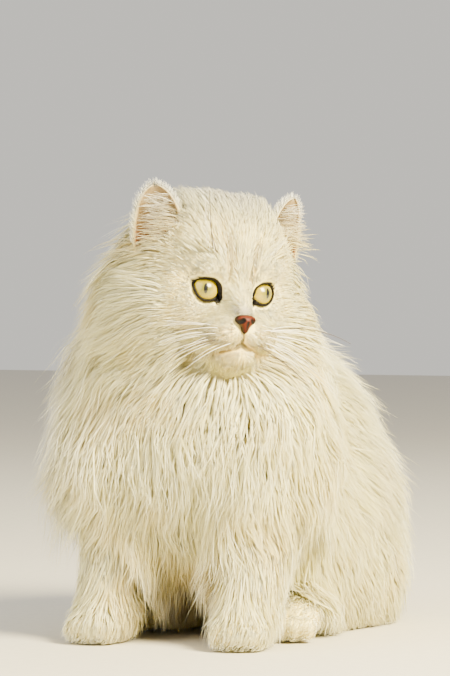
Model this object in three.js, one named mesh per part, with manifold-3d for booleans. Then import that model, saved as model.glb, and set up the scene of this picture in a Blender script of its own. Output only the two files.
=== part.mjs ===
// A long-haired Persian cat, sitting, life size, in millimetres. +Z is up, the chest faces -Y and the
// cat's left side is +X. The origin is the middle of the flat under the haunches. The body is a set of
// rounded forms, each grown from a few balls and limbs blended together, with the locks of its coat
// rooted in it. Each form is one piece, and a piece stays GAP clear of the pieces made before it.
import * as THREE from "three";
import { mergeVertices } from "three/addons/utils/BufferGeometryUtils.js";
import Module from "manifold-3d";

const wasm = await Module();
wasm.setup();
const { Manifold, Mesh } = wasm;

// Driving dimensions
const GAP = 0.35; // clear space between two pieces that touch
const LOCK_GAP = 0.45; // between a lock and a piece that is cut clear of it
const MOUTH_GAP = 0.9; // between the muzzle and the lower jaw
const FLOOR_BLOCK = 900; // a block this wide trims whatever would reach under the floor
const HEAD_CENTRE = [10, -128, 262];
const HEAD_TURN = 50; // degrees, towards the cat's left
const HEAD_ROLL = 4.5; // degrees, the crown leaning the same way
const CHEEK_WIDTH = 60; // from the middle of the face out to where the cheek locks root
const EYE_RADIUS = 11;
const EYE_SPREAD = 20.8; // from the middle of the face to an eye's centre
const EYE_DEPTH = 26.8; // from the middle of the head forward to an eye's centre
const EYE_DROP = 8; // and down to it
const EYE_OUTWARD = 20; // degrees that each eye looks away from straight ahead
const LID_THICKNESS = 1.9;
const EAR_HEIGHT = 50;
const EAR_WIDTH = 40;
const EAR_WALL = 2.4;
const PAW_LENGTH = 52;

const rad = THREE.MathUtils.degToRad;
const clamp = THREE.MathUtils.clamp;
const lerp = THREE.MathUtils.lerp;
const vec = (x, y, z) => new THREE.Vector3(x, y, z);

// Distance to one ball, stretched along its three axes and tilted about X. It is below zero inside.
function ball([x, y, z], [rx, ry, rz], tilt = 0) {
  const cos = Math.cos(rad(tilt));
  const sin = Math.sin(rad(tilt));
  return (p) => {
    const dx = p.x - x;
    const dy = (p.y - y) * cos + (p.z - z) * sin;
    const dz = (p.z - z) * cos - (p.y - y) * sin;
    const share = Math.hypot(dx / rx, dy / ry, dz / rz);
    const slope = Math.hypot(dx / (rx * rx), dy / (ry * ry), dz / (rz * rz));
    return slope < 1e-9 ? -Math.min(rx, ry, rz) : (share * (share - 1)) / slope;
  };
}

// Distance to a limb: a straight length whose radius changes evenly from one end to the other.
function limb(from, to, rFrom, rTo) {
  const a = vec(...from);
  const line = vec(...to).sub(a);
  const lengthSquared = line.lengthSq();
  const offset = vec(0, 0, 0);
  return (p) => {
    offset.copy(p).sub(a);
    const t = clamp(offset.dot(line) / lengthSquared, 0, 1);
    return offset.addScaledVector(line, -t).length() - lerp(rFrom, rTo, t);
  };
}

function smoothLower(a, b, blend) {
  const h = Math.max(blend - Math.abs(a - b), 0) / blend;
  return Math.min(a, b) - (h * h * blend) / 4;
}

function placeAt([x, y, z] = [0, 0, 0], turn = 0, roll = 0) {
  const place = new THREE.Object3D();
  place.position.set(x, y, z);
  place.rotation.set(0, rad(roll), rad(turn), "ZXY");
  place.updateMatrix();
  return place.matrix;
}

// A shape that is given in another frame
function placed(shape, place) {
  const inverse = place.clone().invert();
  const at = vec(0, 0, 0);
  return (p) => shape(at.copy(p).applyMatrix4(inverse));
}

// A form: shapes blended in its own frame, with the axis that its surface is wrapped round.
function makeForm({ place = placeAt(), shapes, dents = [], blend, axis, sides, rings, bias = 1 }) {
  const inverse = place.clone().invert();
  const local = (p) => {
    let d = shapes.reduce((sum, shape) => smoothLower(sum, shape(p), blend), 1e3);
    for (const dent of dents) d = -smoothLower(-d, dent(p), 3);
    return d;
  };
  const at = vec(0, 0, 0);
  const field = (p) => local(at.copy(p).applyMatrix4(inverse));
  const [start, end] = axis.map((point) => vec(...point));
  return { place, inverse, local, field, start, end, sides, rings, bias };
}

// The point where a ray from the form's axis leaves the form, `level` outside its surface, in the
// form's own frame. The direction is a unit vector whose Y runs along the axis.
function rayPoint(form, direction, level) {
  const along = form.end.clone().sub(form.start).normalize();
  const side = Math.abs(along.z) > 0.8 ? vec(1, 0, 0) : vec(0, 0, 1);
  side.addScaledVector(along, -side.dot(along)).normalize();
  const other = vec(0, 0, 0).crossVectors(side, along);
  const ray = side.clone().multiplyScalar(direction.x).addScaledVector(along, direction.y);
  ray.addScaledVector(other, direction.z);
  const from = form.start.clone().lerp(form.end, (direction.y + 1) / 2);
  const reach = (s) => form.local(from.clone().addScaledVector(ray, s)) - level;
  let near = 0;
  let step = -reach(0) * 0.7;
  let far = step;
  for (let i = 0; i < 80 && reach(far) < 0; i += 1) {
    near = far;
    step = Math.max(0.4, -reach(far) * 0.7);
    far += step;
  }
  for (let i = 0; i < 22; i += 1) {
    const middle = (near + far) / 2;
    if (reach(middle) < 0) near = middle;
    else far = middle;
  }
  return from.addScaledVector(ray, (near + far) / 2);
}

// A closed mesh round a form, `level` outside its surface. A bias over 1 sets the rings closer near
// the axis's end.
function wrap(form, level) {
  const geometry = new THREE.SphereGeometry(1, form.sides, form.rings);
  const spots = geometry.attributes.position;
  const direction = vec(0, 0, 0);
  for (let i = 0; i < spots.count; i += 1) {
    direction.fromBufferAttribute(spots, i);
    const polar = Math.acos(clamp(direction.y, -1, 1));
    const moved = Math.PI * Math.pow(polar / Math.PI, form.bias);
    const ring = Math.hypot(direction.x, direction.z);
    const wider = ring > 1e-6 ? Math.sin(moved) / ring : 0;
    direction.set(direction.x * wider, Math.cos(moved), direction.z * wider);
    const point = rayPoint(form, direction, level);
    spots.setXYZ(i, point.x, point.y, point.z);
  }
  return solidOf(geometry.applyMatrix4(form.place));
}

// A closed mesh as a solid with its faces pointing out
function solidOf(geometry) {
  geometry.deleteAttribute("normal");
  geometry.deleteAttribute("uv");
  const merged = mergeVertices(geometry, 1e-3);
  const kept = [];
  for (let i = 0; i < merged.index.count; i += 3) {
    const [a, b, c] = [0, 1, 2].map((corner) => merged.index.getX(i + corner));
    if (a !== b && b !== c && c !== a) kept.push(a, b, c);
  }
  const vertProperties = merged.attributes.position.array;
  const made = new Manifold(new Mesh({ numProp: 3, vertProperties, triVerts: new Uint32Array(kept) }));
  if (made.volume() > 0) return made;
  return new Manifold(new Mesh({ numProp: 3, vertProperties, triVerts: new Uint32Array(kept.reverse()) }));
}

const join = (...solids) => Manifold.union(solids);

function geometryOf(solid) {
  const mesh = solid.getMesh();
  const geometry = new THREE.BufferGeometry();
  geometry.setAttribute("position", new THREE.BufferAttribute(Float32Array.from(mesh.vertProperties), 3));
  return geometry.setIndex(new THREE.BufferAttribute(Uint32Array.from(mesh.triVerts), 1));
}

// The largest closed surface of a solid. Loose scraps and sealed hollows go.
function largest(solid) {
  const bodies = solidOf(geometryOf(solid)).decompose();
  return bodies.reduce((best, body) => (body.volume() > best.volume() ? body : best));
}

// Head and face, in the head's own frame: the face looks along -Y, the crown is up
const headPlace = placeAt(HEAD_CENTRE, HEAD_TURN, HEAD_ROLL);
const eyeCentre = (side) => [EYE_SPREAD * side, -EYE_DEPTH, -EYE_DROP];

const headForm = makeForm({
  place: headPlace,
  shapes: [
    ball([0, 6, 14], [55, 51, 49]),
    ball([0, -16, 20], [41, 28, 30]),
    ...[-1, 1].flatMap((side) => [
      ball([34 * side, 0, -24], [CHEEK_WIDTH - 34, 34, 34]),
      ball([19 * side, -33, 9], [15, 11, 9]),
      ball([12.5 * side, -45, -39], [15, 12.5, 11]),
    ]),
    ball([0, -10, -34], [42, 36, 26]),
    limb([0, -36, -8], [0, -47, -23], 9, 8),
  ],
  dents: [-1, 1].map((side) => ball([26 * side, -46, -8], [11.5, 7.5, 9.5])),
  blend: 8,
  axis: [
    [0, 10, 2],
    [0, -24, -14],
  ],
  sides: 32,
  rings: 21,
  bias: 1.4,
});

const jawForm = makeForm({
  place: headPlace,
  shapes: [ball([0, -41, -54], [15, 12.5, 10.5]), ball([0, -22, -48], [27, 22, 15])],
  blend: 8,
  axis: [
    [0, -18, -50],
    [0, -40, -53],
  ],
  sides: 18,
  rings: 10,
});

const noseForm = makeForm({
  place: headPlace,
  shapes: [
    ball([-4.2, -55, -28.2], [3.6, 4.5, 3.2]),
    ball([4.2, -55, -28.2], [3.6, 4.5, 3.2]),
    ball([0, -56, -29], [5, 5, 4.4]),
    ball([0, -55.2, -34], [2.6, 4, 4]),
  ],
  blend: 2.5,
  axis: [
    [0, -52, -31],
    [0, -55, -30],
  ],
  sides: 18,
  rings: 11,
});

// Body, in the part's own frame
const neckForm = makeForm({
  shapes: [
    limb([0, -92, 172], [4, -110, 236], 52, 46),
    ball([-34, -112, 192], [58, 48, 66]),
    ball([28, -104, 184], [46, 44, 54]),
    placed(ball([-4, 26, -18], [58, 22, 36]), headPlace),
  ],
  dents: [placed(ball([0, -80, -20], [64, 56, 60]), headPlace)],
  blend: 18,
  axis: [
    [-4, -96, 186],
    [-8, -104, 222],
  ],
  sides: 18,
  rings: 11,
});

const torsoForm = makeForm({
  shapes: [
    ball([0, 42, 78], [62, 68, 78]),
    ball([0, 10, 60], [58, 56, 66]),
    ball([0, -2, 116], [68, 72, 94]),
    ball([0, -88, 142], [64, 62, 86]),
    ball([0, -122, 146], [48, 46, 62]),
  ],
  blend: 24,
  axis: [
    [0, 26, 64],
    [0, -92, 160],
  ],
  sides: 22,
  rings: 14,
});

const foreleg = (side) =>
  makeForm({
    shapes: [
      ball([56 * side, -140, 118], [31, 37, 54]),
      limb([56 * side, -154, 84], [55 * side, -176, 20], 24, 18),
    ],
    blend: 16,
    axis: [
      [56 * side, -146, 112],
      [55 * side, -174, 26],
    ],
    sides: 12,
    rings: 10,
  });

const thigh = (side) =>
  makeForm({
    shapes: [
      ball([47 * side, -22, 66], [36, 76, 60], 8),
      ball([52 * side, -74, 66], [28, 36, 40]),
      ball([52 * side, 8, 30], [30, 60, 34]),
    ],
    blend: 16,
    axis: [
      [50 * side, 4, 48],
      [52 * side, -50, 62],
    ],
    sides: 16,
    rings: 10,
  });

const TOES = [-1.5, -0.5, 0.5, 1.5];

// A paw: a rounded body with four toes, its length along its own -Y and its sole at the floor.
function paw(position, turn, long) {
  return makeForm({
    place: placeAt(position, turn),
    shapes: [
      ball([0, 6, 15], [19, 24, 15]),
      ...(long ? [ball([0, 34, 16], [17, 30, 16])] : []),
      ...TOES.map((toe) => ball([toe * 9, -PAW_LENGTH * 0.38 + Math.abs(toe) * 3.2, 10.5], [6.6, 11, 10])),
    ],
    blend: 4,
    axis: [
      [0, long ? 34 : 8, 13],
      [0, -12, 11],
    ],
    sides: 18,
    rings: 9,
  });
}

// A closed solid through a list of rings with the same number of points. Each end is closed by a strip
// across its ring.
function loft(rings) {
  const count = rings[0].length;
  const last = (rings.length - 1) * count;
  const index = [];
  for (let level = 0; level < rings.length - 1; level += 1) {
    for (let i = 0; i < count; i += 1) {
      const a = level * count + i;
      const b = level * count + ((i + 1) % count);
      index.push(a, a + count, b, b, a + count, b + count);
    }
  }
  for (let i = 0; i < (count - 1) / 2; i += 1) {
    const c = count - 1 - i;
    index.push(i, i + 1, c, last + i, last + c, last + i + 1);
    index.push(i + 1, c - 1, c, last + i + 1, last + c, last + c - 1);
  }
  const positions = rings.flat().flatMap((point) => point.toArray());
  const geometry = new THREE.BufferGeometry();
  geometry.setAttribute("position", new THREE.BufferAttribute(new Float32Array(positions), 3));
  geometry.setIndex(index);
  return geometry;
}

// The tail lies on the floor behind and round the cat's right side. It is parted into lengths by thin
// flat cuts.
const TAIL_LINE = new THREE.CatmullRomCurve3([
  vec(2, 78, 32),
  vec(-14, 114, 27),
  vec(-58, 128, 24),
  vec(-98, 104, 24),
  vec(-112, 58, 23),
  vec(-110, 14, 20),
]);
const TAIL_RADII = [18, 18, 19, 19, 18, 14, 5];
const TAIL_RINGS = 7; // on each length
const TAIL_SIDES = 12;
const TAIL_SPANS = 20; // straight spans that stand for the curve where distances to it are measured

function tailRadius(share, coat) {
  const spot = clamp(share, 0, 1) * (TAIL_RADII.length - 1);
  const low = Math.min(Math.floor(spot), TAIL_RADII.length - 2);
  return lerp(TAIL_RADII[low], TAIL_RADII[low + 1], spot - low) + coat;
}

function tailSolid(first, grow) {
  const cut = GAP / 2 / TAIL_LINE.getLength();
  const rings = [];
  for (let i = 0; i <= TAIL_RINGS; i += 1) {
    const share = lerp(first / 3 + cut, (first + 1) / 3 - cut, i / TAIL_RINGS);
    const centre = TAIL_LINE.getPointAt(share);
    const along = TAIL_LINE.getTangentAt(share);
    const side = vec(0, 0, 0).crossVectors(along, vec(0, 0, 1)).normalize();
    const up = vec(0, 0, 0).crossVectors(side, along);
    const radius = tailRadius(share, grow);
    rings.push(
      Array.from({ length: TAIL_SIDES }, (_, turn) => {
        const angle = (turn / TAIL_SIDES) * 2 * Math.PI;
        const point = centre.clone().addScaledVector(side, Math.cos(angle) * radius);
        return point.addScaledVector(up, Math.sin(angle) * radius);
      }),
    );
  }
  return solidOf(loft(rings));
}

// An ear: a curved wall, open to the front and side, that rises from a wide foot to a rounded tip.
function earSolid(side, grow) {
  const turns = 7;
  const levels = 7;
  const wall = EAR_WALL + grow * 2;
  const rings = [];
  for (let level = 0; level <= levels; level += 1) {
    const t = level / levels;
    const width = (EAR_WIDTH / 2) * Math.sqrt(Math.max(1 - Math.pow(t, 2.3), 0.012)) + grow;
    const depth = lerp(19, 3, Math.pow(t, 0.8)) + grow;
    const height = t * (EAR_HEIGHT + grow);
    const lean = 4 * t * t;
    const outer = [];
    const inner = [];
    for (let turn = 0; turn <= turns; turn += 1) {
      const angle = lerp(-0.56, 0.56, turn / turns) * Math.PI;
      outer.push(vec(Math.sin(angle) * width, Math.cos(angle) * depth - lean, height));
      const thin = Math.min(wall, width * 0.75);
      const deep = Math.max(depth - thin, 0.2);
      inner.push(vec(Math.sin(angle) * (width - thin), Math.cos(angle) * deep - lean - grow, height));
    }
    rings.push([...outer, ...inner.reverse()]);
  }
  const ear = new THREE.Object3D();
  ear.position.set(46 * side, -3, 16);
  ear.rotation.set(rad(4), rad(9 * side), rad(30 * side), "ZYX");
  ear.updateMatrix();
  return solidOf(loft(rings).applyMatrix4(ear.matrix).applyMatrix4(headPlace));
}

// The eye's own frame: its opening faces -Y, and X runs from the outer corner to the nose.
function eyePlace(side) {
  const place = new THREE.Object3D();
  place.position.set(...eyeCentre(side));
  place.rotation.set(0, 0, rad(EYE_OUTWARD * side));
  place.updateMatrix();
  return headPlace.clone().multiply(place.matrix);
}

function eyeSolid(side, grow) {
  const geometry = new THREE.SphereGeometry(EYE_RADIUS + grow, 16, 9).rotateX(Math.PI / 2);
  return solidOf(geometry.applyMatrix4(eyePlace(side)));
}

// The opening between the lids: flat above, its outer corner high and its inner corner drawn down
// beside the nose.
function openingSolid(side) {
  const outline = new THREE.Shape();
  outline.moveTo(-9.4, 5.6);
  outline.bezierCurveTo(-5, 7.6, 2, 8, 5.6, 6.6);
  outline.bezierCurveTo(9.4, 4.6, 9.2, -0.5, 10, -4);
  outline.lineTo(12, -8.4);
  outline.lineTo(7.6, -5);
  outline.bezierCurveTo(4, -8, -1.5, -8.2, -4.6, -4.8);
  outline.bezierCurveTo(-7, -2, -8.4, 2, -9.4, 5.6);
  const geometry = new THREE.ExtrudeGeometry(outline, { depth: 26, bevelEnabled: false, curveSegments: 7 });
  geometry.applyMatrix4(new THREE.Matrix4().makeScale(-side, 1, 1));
  geometry.applyMatrix4(new THREE.Matrix4().makeRotationX(Math.PI / 2));
  return solidOf(geometry.applyMatrix4(eyePlace(side)));
}

function lidShells(grow) {
  return [-1, 1].map((side) => {
    const shell = new THREE.SphereGeometry(EYE_RADIUS + LID_THICKNESS + grow, 18, 10).rotateX(Math.PI / 2);
    return solidOf(shell.applyMatrix4(eyePlace(side)));
  });
}

function headSolid() {
  const openings = [-1, 1].map((side) => openingSolid(side));
  const groove = new THREE.CylinderGeometry(0.7, 0.7, 13, 8);
  groove.applyMatrix4(new THREE.Matrix4().makeRotationX(Math.PI / 2)).translate(0, -57.4, -41);
  groove.applyMatrix4(headPlace);
  return join(wrap(headForm, 0), ...lidShells(0)).subtract(join(...openings, solidOf(groove)));
}

function noseSolid() {
  const cuts = [-1, 1].map((side) => {
    const nostril = new THREE.SphereGeometry(1, 8, 6).scale(2.4, 3.4, 1.1).rotateY(rad(-20 * side));
    return solidOf(nostril.translate(4.4 * side, -59.4, -29.6).applyMatrix4(headPlace));
  });
  return wrap(noseForm, 0).subtract(join(...cuts));
}

// Colours
const COAT = new THREE.MeshStandardMaterial({ color: 0xe9e3d6, roughness: 0.9, metalness: 0 });
const NOSE = new THREE.MeshStandardMaterial({ color: 0xa8553f, roughness: 0.55, metalness: 0 });
const IRIS = new THREE.MeshStandardMaterial({ color: 0xb9b45a, roughness: 0.08, metalness: 0 });

// The coat. A lock is flat and tapered. It starts LOCK_ROOT under the surface of its own piece, bends
// along the lie of the fur over whatever lies beneath it, and lifts to its standout at the tip. Locks
// root further down the lie than the ones whose tips cover them, as on the real coat.
const LOCK_ROOT = 5;
const LOCK_NECK = 0.7; // its width at the root over its full width
const LOCK_WIDEST = 0.3; // this far along it is at its full width
const LOCK_FLATNESS = 0.15; // its thickness over its width, near the root
const LOCK_CURL = 0.008; // how much its edges turn down, more on a wide one
const LONG_LOCK = 62; // a lock longer than this is bent at one more ring
const COAT_BLEND = 14; // over this distance the lie runs smoothly from one piece to the next
const TRIES = 900; // random spots tried on each piece
const CLEAR_OF_OTHERS = 2; // from a root to the surface of another piece
const FLOOR_CLEARANCE = 1.2;
const SEED = 26;

let state = SEED;
function random() {
  state = (state + 0x6d2b79f5) | 0;
  let t = Math.imul(state ^ (state >>> 15), 1 | state);
  t = (t + Math.imul(t ^ (t >>> 7), 61 | t)) ^ t;
  return ((t ^ (t >>> 14)) >>> 0) / 4294967296;
}
const between = (low, high) => lerp(low, high, random());

const forelegForms = { foreleg_right: foreleg(-1), foreleg_left: foreleg(1) };
const thighForms = { thigh_right: thigh(-1), thigh_left: thigh(1) };
const TAIL_LIMBS = Array.from({ length: TAIL_SPANS }, (_, i) => {
  const [from, to] = [i / TAIL_SPANS, (i + 1) / TAIL_SPANS];
  const [start, end] = [TAIL_LINE.getPointAt(from), TAIL_LINE.getPointAt(to)];
  return limb(start.toArray(), end.toArray(), tailRadius(from, 0), tailRadius(to, 0));
});

const cores = {
  head: headForm.field,
  neck: neckForm.field,
  torso: torsoForm.field,
  foreleg_right: forelegForms.foreleg_right.field,
  foreleg_left: forelegForms.foreleg_left.field,
  thigh_right: thighForms.thigh_right.field,
  thigh_left: thighForms.thigh_left.field,
  tail: (p) => Math.min(...TAIL_LIMBS.map((span) => span(p))),
};
const blended = (sum, core) => smoothLower(sum, core, COAT_BLEND);
const wholeBody = (p) => Object.values(cores).reduce((sum, core) => blended(sum, core(p)), 1e3);

function normalAt(p) {
  const step = 1.5;
  const slope = (offset) => wholeBody(p.clone().add(offset)) - wholeBody(p.clone().sub(offset));
  return vec(slope(vec(step, 0, 0)), slope(vec(0, step, 0)), slope(vec(0, 0, step))).normalize();
}

// The sections of one lock from root to tip: two edges and a low ridge between them, which meet at the
// tip. A grown lock's edges are as high as the gap on both sides of the lock's own.
function lockRings(root, lock, grow) {
  const steps = lock.length > LONG_LOCK ? 4 : 3;
  const rings = [];
  const point = root.clone();
  for (let i = 0; i <= steps; i += 1) {
    const share = i / steps;
    const normal = normalAt(point);
    const along = lock.lie(point);
    along.addScaledVector(normal, -along.dot(normal)).normalize();
    const side = vec(0, 0, 0).crossVectors(along, normal);
    const height = i === 0 ? -LOCK_ROOT : lerp(lock.lift, lock.standout, Math.pow(share, 1.3));
    const centre = point.clone().addScaledVector(normal, height - wholeBody(point));
    centre.z = Math.max(centre.z, FLOOR_CLEARANCE + 1);
    const past = (share - LOCK_WIDEST) / (1 - LOCK_WIDEST);
    const swell = past < 0 ? lerp(LOCK_NECK, 1, share / LOCK_WIDEST) : 1 - Math.pow(past, 1.7);
    const half = (lock.width / 2) * swell + grow;
    const thick = (i < steps ? lock.width * LOCK_FLATNESS * lerp(1, 0.4, share) : 0) + grow;
    if (i === 0) centre.addScaledVector(along, -grow);
    if (i === steps) centre.addScaledVector(along, grow);
    const under = centre.clone().addScaledVector(normal, -half * half * LOCK_CURL);
    const rises = grow > 0 ? [-grow, grow] : [0];
    const edges = [-1, 1].map((way) =>
      rises.map((rise) => under.clone().addScaledVector(normal, rise).addScaledVector(side, way * half)),
    );
    rings.push([...edges[0], centre.clone().addScaledVector(normal, thick), ...edges[1].reverse()]);
    point.addScaledVector(along, lock.length / steps);
    point.addScaledVector(normal, -wholeBody(point));
  }
  return rings;
}

// Where the locks of a piece root: random spots, no two nearer than the spacing along and across the lie
const spots = [];
function rootSpots(name, zone) {
  const others = Object.keys(cores).filter((key) => !name.startsWith(key));
  for (let i = 0; i < TRIES; i += 1) {
    const point = zone.pick();
    if (point.z < zone.lowest || !zone.where(point)) continue;
    if (others.some((key) => cores[key](point) < CLEAR_OF_OTHERS)) continue;
    const along = zone.lie(point).normalize();
    const spacing = zone.spacing.map((space) => space * (zone.size?.(point) ?? 1));
    const crowded = spots.some((spot) => {
      const offset = point.clone().sub(spot.point);
      const down = offset.dot(along);
      const across = Math.sqrt(Math.max(offset.lengthSq() - down * down, 0));
      const wide = (spacing[0] + spot.spacing[0]) / 2;
      const high = (spacing[1] + spot.spacing[1]) / 2;
      return Math.hypot(down / high, across / wide) < 1;
    });
    if (!crowded) spots.push({ point, name, spacing });
  }
  return spots.filter((spot) => spot.name === name).map((spot) => spot.point);
}

// The locks of a piece, as a function that gives their solids grown by some amount
function coatOf(name, zone) {
  const locks = rootSpots(name, zone).map((root) => {
    const size = zone.size?.(root) ?? 1;
    const length = Math.min(between(...zone.length) * size, (root.z - FLOOR_CLEARANCE) * 1.2);
    const width = between(...zone.width) * size;
    return { root, length, width, standout: zone.standout(root), lift: width * 0.14 + 1, lie: zone.lie };
  });
  return (grow) => locks.map((lock) => solidOf(loft(lockRings(lock.root, lock, grow))));
}

// A random spot on a form's surface
function spotOn(form) {
  const up = between(-1, 1);
  const turn = between(0, 2 * Math.PI);
  const ring = Math.sqrt(1 - up * up);
  return rayPoint(form, vec(ring * Math.cos(turn), up, ring * Math.sin(turn)), 0).applyMatrix4(form.place);
}

// The lie of the coat, as a direction at each point
const headMiddle = vec(...HEAD_CENTRE);
const faceAhead = vec(0, -1, 0).transformDirection(headPlace);
const awayFromFace = (p) => {
  const out = p.clone().sub(headMiddle);
  return out.addScaledVector(faceAhead, -out.dot(faceAhead)).normalize();
};
const fromFace = (p, out, back, down) =>
  awayFromFace(p).multiplyScalar(out).addScaledVector(faceAhead, -back).add(vec(0, 0, -down));
const ruffLie = (p) => fromFace(p, 0.8, 0.25, 0.75);
const bodyLie = (p) => (p.y < -95 ? vec(p.x * 0.004, 0.12, -1) : vec(0, 0.55, -1));
const headLie = (p) => fromFace(p, 0.7, 0.8, 0.25);
const legLie = (p) => vec(p.x * 0.002, 0.1, -1);
const thighLie = () => vec(0, 0.45, -1);
const inHeadFrame = (p) => p.clone().applyMatrix4(headForm.inverse);
const earFoot = (side) => vec(46 * side, -3, 20);

// How far to the side of the head a point is: 0 in the middle, 1 at the cheeks and behind the ears.
const sideways = (p) => Math.pow(clamp(Math.abs(inHeadFrame(p).x) / 48, 0, 1), 2);

// The locks of the bib, between the forelegs, are shorter
const bibSize = (p) => (p.y < -120 && Math.abs(p.x) < 60 ? 0.8 : 1);

// Each zone of the coat. The spacing is across and along the lie, and spacing, length and width are all
// scaled by the zone's size where it has one.
const ZONES = {
  head: {
    pick: () => spotOn(headForm),
    where: (p) => {
      const q = inHeadFrame(p);
      const nearEar = [-1, 1].some((side) => q.distanceTo(earFoot(side)) < 21);
      return !nearEar && (q.y > -10 + Math.abs(q.x) * 0.1 || (Math.abs(q.x) > 38 && q.z < 8));
    },
    lowest: 0,
    size: (p) => 0.9 + 0.3 * sideways(p),
    spacing: [20.5, 26],
    length: [46, 60],
    width: [18, 22],
    standout: (p) => 9 + 19 * sideways(p),
    lie: headLie,
  },
  neck: {
    pick: () => spotOn(neckForm),
    where: () => true,
    lowest: 60,
    size: bibSize,
    spacing: [27, 36],
    length: [86, 108],
    width: [24, 29],
    standout: (p) => 22 + 26 * clamp((-p.x - 15) / 50, 0, 1),
    lie: ruffLie,
  },
  torso: {
    pick: () => spotOn(torsoForm),
    where: () => true,
    lowest: 44,
    size: bibSize,
    spacing: [33, 46],
    length: [88, 108],
    width: [28, 32],
    standout: () => 27,
    lie: bodyLie,
  },
  foreleg: {
    lowest: 30,
    where: () => true,
    spacing: [27, 37],
    length: [60, 72],
    width: [17, 21],
    standout: () => 10,
    lie: legLie,
  },
  thigh: {
    lowest: 34,
    where: () => true,
    spacing: [28, 36],
    length: [66, 84],
    width: [22, 26],
    standout: () => 15,
    lie: thighLie,
  },
};

// The coat of one length of the tail: it lies along the tail towards the tip
function tailZone(first) {
  return {
    pick: () => {
      const share = between(first / 3 + 0.03, (first + 1) / 3 - 0.01);
      const turn = between(0, 2 * Math.PI);
      const along = TAIL_LINE.getTangentAt(share);
      const side = vec(0, 0, 0).crossVectors(along, vec(0, 0, 1)).normalize();
      const up = vec(0, 0, 0).crossVectors(side, along);
      const radius = tailRadius(share, 0);
      const point = TAIL_LINE.getPointAt(share).addScaledVector(side, Math.cos(turn) * radius);
      return point.addScaledVector(up, Math.sin(turn) * radius);
    },
    where: () => true,
    lowest: 12,
    spacing: [19, 27],
    length: [50, 60],
    width: [20, 23],
    standout: () => 12,
    lie: (p) => {
      const away = (share) => TAIL_LINE.getPointAt(share).distanceTo(p);
      const shares = Array.from({ length: TAIL_SPANS + 1 }, (_, i) => i / TAIL_SPANS);
      const nearest = shares.reduce((best, share) => (away(share) < away(best) ? share : best));
      return TAIL_LINE.getTangentAt(nearest);
    },
  };
}

// Each piece: its solid, and a copy grown by the gap that is cut from the pieces made after it.
const pieces = [];

function addPiece(name, material, solid, grown) {
  let made = solid;
  const box = grown.boundingBox();
  for (const piece of pieces) {
    if ([0, 1, 2].some((i) => piece.box.max[i] < box.min[i] || piece.box.min[i] > box.max[i])) continue;
    made = made.subtract(piece.grown);
  }
  const floor = new THREE.BoxGeometry(FLOOR_BLOCK, FLOOR_BLOCK, FLOOR_BLOCK);
  made = largest(made.subtract(solidOf(floor.translate(0, 0, -FLOOR_BLOCK / 2))));
  pieces.push({ name, material, solid: made, grown, box });
}

function addForm(name, form) {
  addPiece(name, COAT, wrap(form, 0), wrap(form, GAP));
}

// A form with its coat
function addFurred(name, core, grownCore, zone) {
  const locks = coatOf(name, zone);
  addPiece(name, COAT, join(core, ...locks(0)), join(grownCore, ...locks(LOCK_GAP)));
}

for (const [name, side] of [["eye_right", -1], ["eye_left", 1]]) {
  addPiece(name, IRIS, eyeSolid(side, 0), eyeSolid(side, GAP));
}
addPiece("nose", NOSE, noseSolid(), wrap(noseForm, GAP));
addFurred("head", headSolid(), join(wrap(headForm, GAP), ...lidShells(GAP)), ZONES.head);
addPiece("jaw", COAT, wrap(jawForm, 0).subtract(wrap(headForm, MOUTH_GAP)), wrap(jawForm, GAP));
for (const [name, side] of [["ear_right", -1], ["ear_left", 1]]) {
  addPiece(name, COAT, earSolid(side, 0), earSolid(side, GAP));
}
for (const [name, side] of [["forepaw_right", -1], ["forepaw_left", 1]]) {
  addForm(name, paw([56 * side, -180, 0], 8 * side, false));
}
for (const [name, side] of [["hindpaw_right", -1], ["hindpaw_left", 1]]) {
  addForm(name, paw([66 * side, -112, 0], 12 * side, true));
}
addFurred("neck", wrap(neckForm, 0), wrap(neckForm, GAP), ZONES.neck);
addFurred("torso", wrap(torsoForm, 0), wrap(torsoForm, GAP), ZONES.torso);
for (const [name, form] of Object.entries(forelegForms)) {
  addFurred(name, wrap(form, 0), wrap(form, GAP), { ...ZONES.foreleg, pick: () => spotOn(form) });
}
for (const [name, form] of Object.entries(thighForms)) {
  addFurred(name, wrap(form, 0), wrap(form, GAP), { ...ZONES.thigh, pick: () => spotOn(form) });
}
for (const [name, first] of [["tail_root", 0], ["tail_middle", 1], ["tail_tip", 2]]) {
  addFurred(name, tailSolid(first, 0), tailSolid(first, GAP), tailZone(first));
}

// The scene graph: the head's pieces ride in a group that carries the head's turn
const cat = new THREE.Group();
const headGroup = new THREE.Group();
headGroup.applyMatrix4(headPlace);
cat.add(headGroup);
const HEAD_PIECES = ["eye_right", "eye_left", "nose", "head", "jaw", "ear_right", "ear_left"];

for (const piece of pieces) {
  const geometry = geometryOf(piece.solid);
  const inHead = HEAD_PIECES.includes(piece.name);
  if (inHead) geometry.applyMatrix4(headPlace.clone().invert());
  geometry.computeBoundingBox();
  const centre = geometry.boundingBox.getCenter(vec(0, 0, 0));
  geometry.translate(-centre.x, -centre.y, -centre.z);
  geometry.computeVertexNormals();
  const node = new THREE.Mesh(geometry, piece.material);
  node.name = piece.name;
  node.position.copy(centre);
  (inHead ? headGroup : cat).add(node);
}

export default cat;
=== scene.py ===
"""A long-haired Persian cat, sitting: skin, eyes, nose, whiskers and a coat of solid tufts on the frame.

Lengths are millimetres in the code that shapes the cat and metres in the finished meshes. The cat's own
frame has +Z up, its chest faces -Y and its left side is +X.
"""

import logging
import math
from dataclasses import dataclass, field
from enum import Enum
from typing import Callable

import bmesh
import bpy
import numpy as np
from mathutils import Matrix, Vector, kdtree
from numpy.typing import NDArray


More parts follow.
